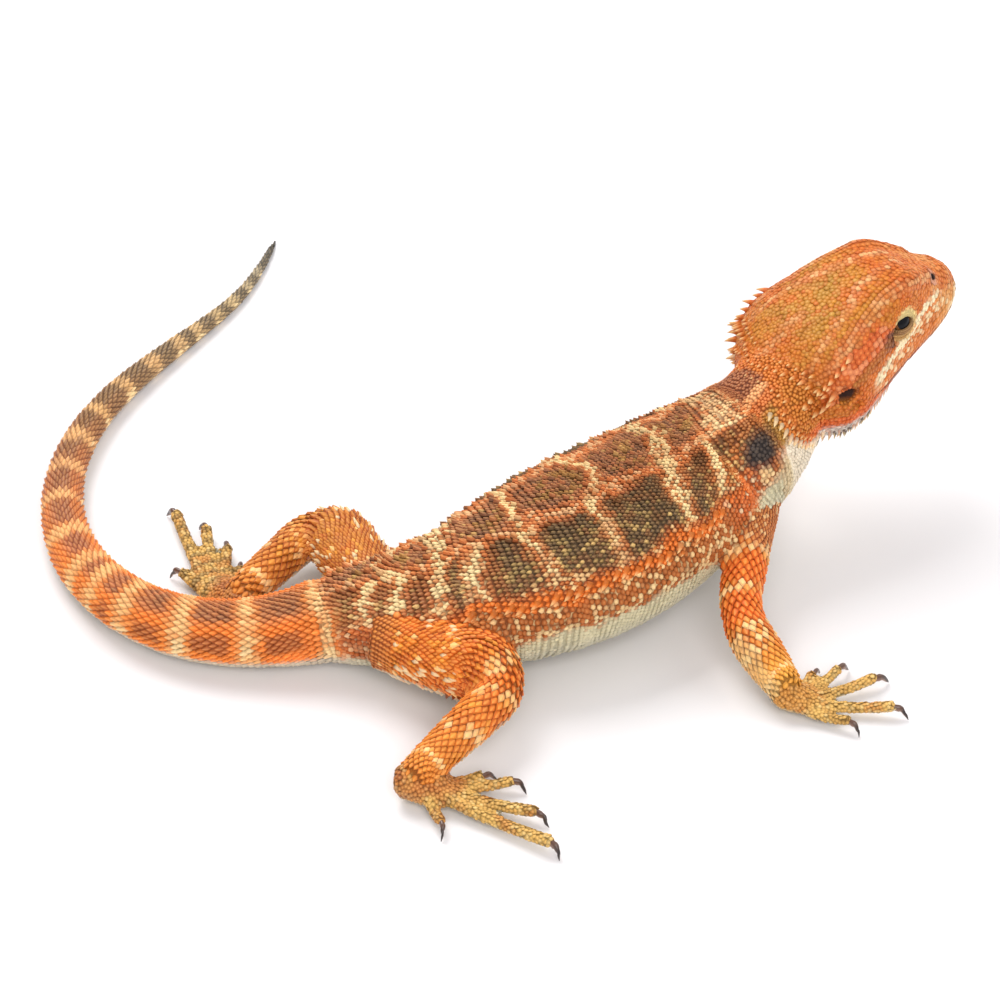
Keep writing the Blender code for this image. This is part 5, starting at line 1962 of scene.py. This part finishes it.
@dataclass(frozen=True)
class EyeFinish:
    """Wet eye: a black round pupil in a brown iris flecked with gold, under a clear cornea that mirrors the lights."""

    name: str = "eye_wet_cornea"
    pupil: float = 0.50  # sines of the angles from the gaze at which each ring ends
    iris: float = 0.66

    def material(self) -> bpy.types.Material:
        """Builds the material."""
        made, tree = blank_material(self.name)
        gaze = add_node(tree, "ShaderNodeAttribute", {"attribute_name": "gaze"}).outputs["Fac"]
        place = add_node(tree, "ShaderNodeTexCoord").outputs["Object"]
        flecks = add_node(
            tree, "ShaderNodeTexNoise", {}, {"Vector": place, "Scale": 1 / (0.3 * MM), "Detail": 3.0}
        ).outputs["Fac"]
        gold = add_node(
            tree, "ShaderNodeMapRange", {}, {"Value": flecks, 1: 0.42, 2: 0.66, 3: 0.0, 4: 0.9}
        ).outputs[0]
        iris = add_node(
            tree, "ShaderNodeMix", {"data_type": "RGBA"}, {
                0: gold, 6: (*linear("#52290F"), 1.0), 7: (*linear("#96602C"), 1.0)
            }
        ).outputs[2]
        inner = add_node(
            tree,
            "ShaderNodeMapRange",
            {"interpolation_type": "SMOOTHSTEP"},
            {"Value": gaze, 1: self.pupil - 0.02, 2: self.pupil + 0.03, 3: 0.0, 4: 1.0},
        ).outputs[0]
        outer = add_node(
            tree,
            "ShaderNodeMapRange",
            {"interpolation_type": "SMOOTHSTEP"},
            {"Value": gaze, 1: self.iris - 0.05, 2: self.iris + 0.05, 3: 0.0, 4: 1.0},
        ).outputs[0]
        # the pupil's near-black has a faint blue cast, a painted reflection of the lights
        ringed = add_node(
            tree, "ShaderNodeMix", {"data_type": "RGBA"}, {0: inner, 6: (*linear("#121216"), 1.0), 7: iris}
        ).outputs[2]
        whole = add_node(
            tree, "ShaderNodeMix", {"data_type": "RGBA"}, {0: outer, 6: ringed, 7: (*linear("#2B1A12"), 1.0)}
        ).outputs[2]
        shader = add_node(
            tree, "ShaderNodeBsdfPrincipled", {},
            {
                "Base Color": whole, "Roughness": 0.25, "IOR": 1.38, "Specular IOR Level": 0.12, "Coat Weight": 0.35,
                "Coat Roughness": 0.04, "Coat IOR": 1.34,
            },
        )
        add_node(tree, "ShaderNodeOutputMaterial", {}, {"Surface": shader.outputs[0]})
        return made


@dataclass(frozen=True)
class ClawFinish:
    """Horn of a claw: dark and polished along the top, translucent tan low on its sides, striped along its growth."""

    name: str = "claw_horn_polished"

    def material(self) -> bpy.types.Material:
        """Builds the material."""
        made, tree = blank_material(self.name)
        tint = add_node(tree, "ShaderNodeAttribute", {"attribute_name": "tint"}).outputs["Color"]
        place = add_node(tree, "ShaderNodeTexCoord").outputs["Object"]
        streak = add_node(
            tree, "ShaderNodeTexNoise", {}, {"Vector": place, "Scale": 1 / (0.25 * MM), "Detail": 2.0}
        ).outputs["Fac"]
        vary = add_node(tree, "ShaderNodeMapRange", {}, {"Value": streak, 1: 0.3, 2: 0.7, 3: 0.8, 4: 1.15}).outputs[0]
        shade = add_node(tree, "ShaderNodeVectorMath", {"operation": "SCALE"}, {0: tint, "Scale": vary}).outputs[0]
        shader = add_node(
            tree, "ShaderNodeBsdfPrincipled", {}, {
                "Base Color": shade, "Roughness": 0.28, "IOR": 1.54, "Coat Weight": 0.3, "Coat Roughness": 0.15
            }
        )
        add_node(tree, "ShaderNodeOutputMaterial", {}, {"Surface": shader.outputs[0]})
        return made


@dataclass(frozen=True)
class FloorFinish:
    """Plain pale studio floor, matt."""

    name: str = "studio_floor_matt"
    colour: str = "#EFEDEE"

    def material(self) -> bpy.types.Material:
        """Builds the material."""
        made, tree = blank_material(self.name)
        shader = add_node(
            tree, "ShaderNodeBsdfPrincipled", {},
            {"Base Color": (*linear(self.colour), 1.0), "Roughness": 0.9, "Specular IOR Level": 0.1},
        )
        add_node(tree, "ShaderNodeOutputMaterial", {}, {"Surface": shader.outputs[0]})
        return made


def colour_in(obj: bpy.types.Object, colours: np.ndarray) -> None:
    """Stores linear colours on an object's points as its tint."""
    rows = np.column_stack([colours, np.ones(len(colours))]).astype(np.float32)
    obj.data.attributes.new("tint", "FLOAT_COLOR", "POINT").data.foreach_set("color", rows.ravel())


# ---------------------------------------------------------------- eyes and claws


@dataclass
class Eye:
    """An eyeball in its lids."""

    frame: HeadFrame
    side: str
    centre: np.ndarray
    radius: float = 3.75
    lid_radius: float = 4.2
    opening: tuple[float, float] = (2.9, 1.45)  # half of the gap between the lids, along the head and across it
    lid_reach: float = 5.4  # how far the lids run out before they are under the skin

    def __post_init__(self) -> None:
        """Sets the way that the eye looks, outwards and a little forwards and up."""
        sign = 1.0 if self.side == "left" else -1.0
        self.gaze = unit(self.frame.turn(np.array([-0.10, sign, 0.42])))
        along = self.frame.turn(np.array([-1.0, 0.0, 0.10]))
        self.along = unit(along - self.gaze * (along @ self.gaze))
        self.across = np.cross(self.gaze, self.along)
        if self.across @ self.frame.above < 0:
            self.across = -self.across

    def ball(self) -> bpy.types.Object:
        """The eyeball, with the angle from its gaze stored at each point."""
        made = bpy.data.meshes.new(f"eyeball_{self.side}")
        work = bmesh.new()
        bmesh.ops.create_uvsphere(work, u_segments=48, v_segments=32, radius=self.radius * MM)
        work.to_mesh(made)
        work.free()
        ways = unit(coordinates_of(made).astype(float))
        basis = np.stack([self.along, self.across, self.gaze])
        if np.linalg.det(basis) < 0:
            basis[0] *= -1
        turned = ways @ basis
        made.vertices.foreach_set("co", ((turned * self.radius + self.centre) * MM).astype(np.float32).ravel())
        facing = turned @ self.gaze
        angle = np.sqrt(np.maximum(1 - facing**2, 0))
        made.attributes.new("gaze", "FLOAT", "POINT").data.foreach_set(
            "value", np.where(facing > 0, angle, 1.0).astype(np.float32)
        )
        made.polygons.foreach_set("use_smooth", np.ones(len(made.polygons), bool))
        return add_object(made.name, made)

    def lid_point(self, angle: float, reach: float, lift: float = 0.0) -> np.ndarray:
        """A place on the lids: an angle round the gaze, a distance out from it, and a height above the lid."""
        radius = self.lid_radius + lift
        fall = math.sqrt(max(radius**2 - min(reach, radius * 0.97) ** 2, 0.0)) - max(0.0, reach - radius * 0.97) * 1.2
        out = self.along * math.cos(angle) + self.across * math.sin(angle)
        return self.centre + out * reach + self.gaze * fall

    def gap(self, angle: float) -> float:
        """Distance from the gaze to the lids' edge, at an angle round it."""
        wide, high = self.opening
        return 1.0 / math.hypot(math.cos(angle) / wide, math.sin(angle) / high)

    def lids(self, turns: int = 72) -> tuple[np.ndarray, np.ndarray]:
        """The lids as a closed ring of quads round the opening."""
        rows = []
        for k in range(turns):
            angle = 2 * math.pi * k / turns
            inner = self.gap(angle)
            edge = ((inner + 0.3, -0.75), (inner - 0.02, -0.38), (inner, -0.10))
            outside = [(reach, 0.0) for reach in np.linspace(inner + 0.12, self.lid_reach, 8)]
            profile = (*edge, *outside, (self.lid_reach, -1.2))
            rows.append([self.lid_point(angle, reach, lift) for reach, lift in profile])
        points = np.array(rows)
        count, deep = points.shape[:2]
        number = np.arange(count * deep).reshape(count, deep)
        a, b = number, np.roll(number, -1, axis=0)
        faces = np.stack([a, b, np.roll(b, -1, axis=1), np.roll(a, -1, axis=1)], axis=-1).reshape(-1, 4)
        points = points.reshape(-1, 3)
        normals = vertex_normals(points, faces)
        middle = number[0, deep // 2]
        if normals[middle] @ (points[middle] - self.centre) < 0:
            faces = faces[:, ::-1]
        return points, faces

    def lid_roots(self, hide: Hide) -> Roots:
        """Fine scales in rows that run round the lids."""
        points, normals = [], []
        ring, reach_out = 0, 0.34
        while reach_out < self.lid_reach - 1.75:
            count = int(2 * math.pi * (2.4 + reach_out) / 0.52)
            for k in range(count):
                angle = 2 * math.pi * (k + 0.5 * (ring % 2)) / count
                reach = self.gap(angle) + reach_out * (self.lid_reach - self.gap(angle)) / (self.lid_reach - 2.2)
                if reach < self.lid_reach:
                    point = self.lid_point(angle, reach, -0.02)
                    points.append(point)
                    normals.append(unit(point - self.centre))
            reach_out += 0.46
            ring += 1
        points, normals = np.array(points), np.array(normals)
        lies = np.cross(normals, np.cross(self.gaze, points - self.centre) + 1e-6)
        lies = unit(lies - normals * np.einsum("nd,nd->n", lies, normals)[:, None])
        label = hide.flesh.index("head")
        count = len(points)
        return Roots(
            points, normals, lies, np.tile((0.62, 0.60, 0.5), (count, 1)), np.full(count, label),
            np.full(count, Part.HEAD.value), np.full(count, "lid_scales", object),
        )


@dataclass
class Claws:
    """The claws of one hand or foot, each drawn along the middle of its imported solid."""

    name: str
    claws: list[str]
    samples: dict[str, np.ndarray]
    palm: np.ndarray  # samples of the hand or foot
    sides: int = 14
    steps: int = 14

    def __post_init__(self) -> None:
        """Mixes the colours of the horn."""
        self.dark, self.side, self.root = linear("#2C1D18"), linear("#9A7660"), linear("#7A5340")

    def middle_line(self, cloud: np.ndarray, tree: KDTree) -> tuple[np.ndarray, np.ndarray]:
        """Finds where a claw runs.

        Args:
            cloud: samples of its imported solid.
            tree: the samples of the hand or foot.

        Returns:
            Its middle line, and its radius at each point of that.
        """
        gaps = np.array([tree.find(point)[2] for point in cloud])
        base, tip = cloud[gaps <= np.quantile(gaps, 0.12)].mean(axis=0), cloud[gaps.argmax()]
        axis = unit(tip - base)
        along = (cloud - base) @ axis
        length = along.max()
        knots, radii = [], []
        for part in (0.08, 0.3, 0.52, 0.74):
            near = cloud[np.abs(along - part * length) < 0.1 * length]
            middle = near.mean(axis=0)
            knots.append(middle)
            radii.append(np.linalg.norm((near - middle) - np.outer((near - middle) @ axis, axis), axis=1).mean())
        near = self.palm[np.linalg.norm(self.palm - base, axis=1) < 2.6].mean(axis=0)
        start = knots[0] + unit(near - knots[0]) * 2.0
        tip = tip + unit(tip - knots[-1]) * min(0.7, max(tip[2] - 0.25, 0.0))
        shares = np.linalg.norm(np.array(knots) - start, axis=1) / np.linalg.norm(tip - start)
        knots = [0.6 * knot + 0.4 * (start + (tip - start) * share) for knot, share in zip(knots, shares)]
        line = even_line(through([start, *knots, tip]), length / (self.steps * 1.02))
        widths = (radii[0] * 0.75, radii[0] * 0.96, radii[1] * 0.98, radii[2], radii[3], 0.07)
        return line, np.interp(np.linspace(0, 1, len(line)), (0, 0.3, 0.48, 0.64, 0.82, 1.0), widths)

    def colour_at(self, share: float, turn: float) -> np.ndarray:
        """Colour at a share of the claw's length and an angle from its top.

        Args:
            share: 0 at the root, where the horn is fresh, to 1 at the tip.
            turn: the angle in radians; the horn is dark along the top and pale below.

        Returns:
            A linear colour.
        """
        topness = ease(-0.1, 0.7, math.cos(turn) + 0.9 * share - 0.1)
        colour = self.side * (1 - topness) + self.dark * topness
        fresh = ease(0.6, 0.25, share)
        return colour * (1 - 0.55 * fresh) + self.root * 0.55 * fresh

    def build(self) -> bpy.types.Object:
        """One mesh for the five claws."""
        points, faces, colours = [], [], []
        tree = search_tree(self.palm)
        turns = [2 * math.pi * k / self.sides for k in range(self.sides)]
        pairs = [(k, (k + 1) % self.sides) for k in range(self.sides)]
        for claw in self.claws:
            line, radius = self.middle_line(self.samples[claw], tree)
            count, first = len(line), len(points)
            ahead = unit(np.gradient(line, axis=0))
            flank = unit(np.cross(ahead, UP))
            above = np.cross(flank, ahead)
            for number in range(count):
                for turn in turns:
                    out = math.cos(turn) * above[number] * 1.12 + math.sin(turn) * flank[number] * 0.86
                    points.append(line[number] + radius[number] * out)
                    colours.append(self.colour_at(number / (count - 1), turn))
            for start in range(first, first + (count - 1) * self.sides, self.sides):
                faces += [[start + a, start + b, start + b + self.sides, start + a + self.sides] for a, b in pairs]
            last = first + (count - 1) * self.sides
            for start, centre, colour in (
                (first, line[0], self.root), (last, line[-1] + ahead[-1] * 0.05, self.dark)
            ):
                points.append(centre)
                colours.append(colour)
                faces += [[start + a, start + b, len(points) - 1] for a, b in pairs]
        mesh = bpy.data.meshes.new(self.name)
        mesh.from_pydata((np.array(points) * MM).tolist(), [], faces)
        face_outwards(mesh)
        mesh.polygons.foreach_set("use_smooth", np.ones(len(mesh.polygons), bool))
        made = add_object(self.name, mesh)
        colour_in(made, np.array(colours))
        return made


# ---------------------------------------------------------------- the stage


@dataclass
class Studio:
    """The floor, the soft lights and the camera."""

    aim: tuple[float, float, float] = (-5.54, -14.94, 10.0)
    away: float = 850.0
    heading: tuple[float, float] = (0.434, 0.901)  # the way that the camera looks over the floor
    dip: float = 40.0  # degrees that it looks down
    lens: float = 122.4
    floor_side: float = 3.0  # metres, as all below
    softboxes: tuple[tuple[str, Spot, float, float], ...] = (  # name, place, side, watts
        ("key_softbox", (-0.1, 0.75, 1.1), 0.8, 13.0),
        ("front_softbox", (-0.25, -0.95, 0.9), 0.9, 8.0),
        ("side_softbox", (0.95, -0.15, 0.8), 0.9, 3.0),
    )
    world_strength: float = 0.56

    def build(self) -> None:
        """Makes the floor, lights, world and camera."""
        mesh = bpy.data.meshes.new("studio_floor")
        half = self.floor_side / 2
        mesh.from_pydata([(-half, -half, 0), (half, -half, 0), (half, half, 0), (-half, half, 0)], [], [(0, 1, 2, 3)])
        floor = add_object("studio_floor", mesh)
        floor.data.materials.append(FloorFinish().material())
        dip = math.radians(self.dip)
        ahead = unit(np.array([self.heading[0], self.heading[1], 0.0])) * math.cos(dip) - UP * math.sin(dip)
        camera = add_object("camera", bpy.data.cameras.new("camera"))
        camera.data.lens = self.lens
        camera.data.sensor_width = 36.0
        camera.data.clip_start, camera.data.clip_end = 0.05, 20.0
        camera.location = Vector((np.array(self.aim) - ahead * self.away) * MM)
        camera.rotation_euler = Vector(ahead).to_track_quat("-Z", "Y").to_euler()
        bpy.context.scene.camera = camera
        for name, place, size, power in self.softboxes:
            light = add_object(name, bpy.data.lights.new(name, "AREA"))
            light.data.shape, light.data.size, light.data.energy = "SQUARE", size, power
            light.location = place
            light.rotation_euler = (Vector((0, 0, 0.02)) - Vector(place)).to_track_quat("-Z", "Y").to_euler()
        world = bpy.data.worlds.new("studio_air")
        world.use_nodes = True
        world.node_tree.nodes.clear()
        air = add_node(
            world.node_tree,
            "ShaderNodeBackground",
            {},
            {"Color": (*linear("#FBFBFD"), 1.0), "Strength": self.world_strength},
        )
        add_node(world.node_tree, "ShaderNodeOutputWorld", {}, {"Surface": air.outputs[0]})
        bpy.context.scene.world = world
        bpy.context.scene.view_settings.view_transform = "Standard"


def build_skin(hide: Hide, markings: Markings, eyes: list[Eye]) -> None:
    """Builds the skin with its lids, painted darker than the scales over it as the shade down between them, least so on
    the head and where it is pale.
    """
    tints = markings.colours(hide.points, hide.normals, hide.labels, hide.parts)
    # painted shade: the skin's tint is darkened, less on the head and where the skin is pale
    tints *= 0.62 + 0.26 * np.maximum(hide.parts == Part.HEAD.value, ease(0.3, 0.5, tints[:, 1]))[:, None]
    all_points, all_faces, all_tints = [hide.points], [hide.faces], [tints]
    for eye in eyes:
        points, faces = eye.lids()
        all_faces.append(faces + sum(len(rows) for rows in all_points))
        all_points.append(points)
        label, part = np.full(len(points), hide.flesh.index("head")), np.full(len(points), Part.HEAD.value)
        # painted shade: the lids' skin is made a little darker than its markings
        all_tints.append(markings.colours(points, unit(points - eye.centre), label, part) * 0.95)
    skin = mesh_from("skin", np.concatenate(all_points), np.concatenate(all_faces))
    colour_in(skin, np.concatenate(all_tints))
    skin.data.materials.append(SkinFinish().material())
    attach(skin, "root")
    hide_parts(*hide.flesh)
    log.info("skin: %d faces", len(skin.data.polygons))


def plant_all(hide: Hide, markings: Markings, eyes: list[Eye]) -> tuple[Roots, np.ndarray]:
    """Finds the roots of all the scales and spines, and their colours."""
    planter = Planter(hide, markings.skeleton)
    limbs = markings.skeleton.limbs
    rows = Roots.join(
        [planter.head_rows(markings), planter.trunk(), planter.tail(), *(planter.limb(name) for name in limbs)]
    )
    filled = planter.fill(rows)
    rows, filled = (planter.clear(these, markings, eyes) for these in (rows, filled))
    spines = planter.spines()
    lids = Roots.join([eye.lid_roots(hide) for eye in eyes])
    counts = tuple(len(these.points) for these in (rows, filled, spines, lids))
    log.info("roots: %d in rows, %d filled in, %d spines, %d on the lids", *counts)
    roots = Roots.join([rows, filled, spines, lids])
    outward = hide.normals[planter.skin_at(roots.points)[2]]
    tints = markings.colours(roots.points, outward, roots.labels, roots.parts)
    for group, (colour, amount) in SPINE_TINTS.items():
        chosen = roots.groups == group
        tints[chosen] = (1 - amount) * tints[chosen] + amount * linear(colour)
    return roots, tints


def grow_coat(markings: Markings, roots: Roots, tints: np.ndarray) -> None:
    """Grows the scales and spines, each group as one piece or more."""
    # each finish darkens its grooves as painted shade and pales its keels as a painted highlight; the spines' pale tips
    # are their own colour
    body = ScaleFinish().material()
    spine = ScaleFinish(
        "reptile_spine_keratin", tip="#F6D898", tip_own=0.1, tip_amount=0.95, groove=0.7, worn=(0.36, 1.0)
    ).material()
    limb = ScaleFinish(
        "reptile_limb_keratin", tip="#FFC468", tip_own=0.45, tip_amount=0.66, groove=0.4, worn=(0.6, 0.97)
    ).material()
    head = ScaleFinish("reptile_head_keratin", groove=0.64, tip_amount=0.45, worn=(0.7, 1.0)).material()
    belly = ScaleFinish("reptile_belly_keratin", groove=0.72, tip_amount=0.25, worn=(0.75, 1.0)).material()
    finishes = {"arm": limb, "leg": limb, "head": head, "belly": belly, "spines": spine}
    patches = map_places(markings, roots)
    for group in sorted(set(roots.groups)):
        chosen = np.flatnonzero(roots.groups == group)
        start, form = group.split("_")[0], Form.for_group(group)
        pieces = math.ceil(len(chosen) / (TRIANGLES_TO_A_PIECE // form.triangles))
        for number, block in enumerate(np.array_split(chosen, pieces)):
            coat = Coat(form, finishes.get(start, body))
            piece = coat.grow(f"{group}_{number + 1}", roots.pick(block), tints[block], patches[block])
            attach(piece, "root")
            triangles = sum(len(face.vertices) - 2 for face in piece.data.polygons)
            log.info("%s: %d scales, %d triangles", piece.name, len(block), triangles)


def main() -> None:
    """Builds the animal and its stage in order."""
    logging.basicConfig(level=logging.INFO, format="%(message)s")
    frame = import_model()
    skeleton = Skeleton(frame["nodes"])
    hide = Hide(skeleton)
    hide.build()
    log.info("hide: %d faces", len(hide.faces))
    markings = Markings(skeleton, hide.flesh)
    hide.sculpt(skeleton.head, [markings.ear, markings.nostril])
    lid_offset = skeleton.head.turn(np.array([LID_BACK - EYE_BACK, 0.0, LID_HEIGHT - EYE_HEIGHT]))
    eyes = [Eye(skeleton.head, side, skeleton.samples[f"eye_{side}"].mean(axis=0) + lid_offset) for side in SIDES]
    build_skin(hide, markings, eyes)
    grow_coat(markings, *plant_all(hide, markings, eyes))
    eye_finish, claw_finish = EyeFinish().material(), ClawFinish().material()
    for eye in eyes:
        ball = eye.ball()
        ball.data.materials.append(eye_finish)
        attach(ball, "root")
        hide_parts(f"eye_{eye.side}")
    for side, limb in product(SIDES, ("hand", "foot")):
        names = sorted(name for name in frame["nodes"] if name.startswith(f"claw_{limb}_{side}"))
        claws = Claws(f"claws_{limb}_{side}", names, skeleton.samples, skeleton.samples[f"{limb}_{side}"]).build()
        claws.data.materials.append(claw_finish)
        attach(claws, "root")
        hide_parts(*names)
        log.info("%s: %d claws", claws.name, len(names))
    Studio().build()


if __name__ == "__main__":
    main()
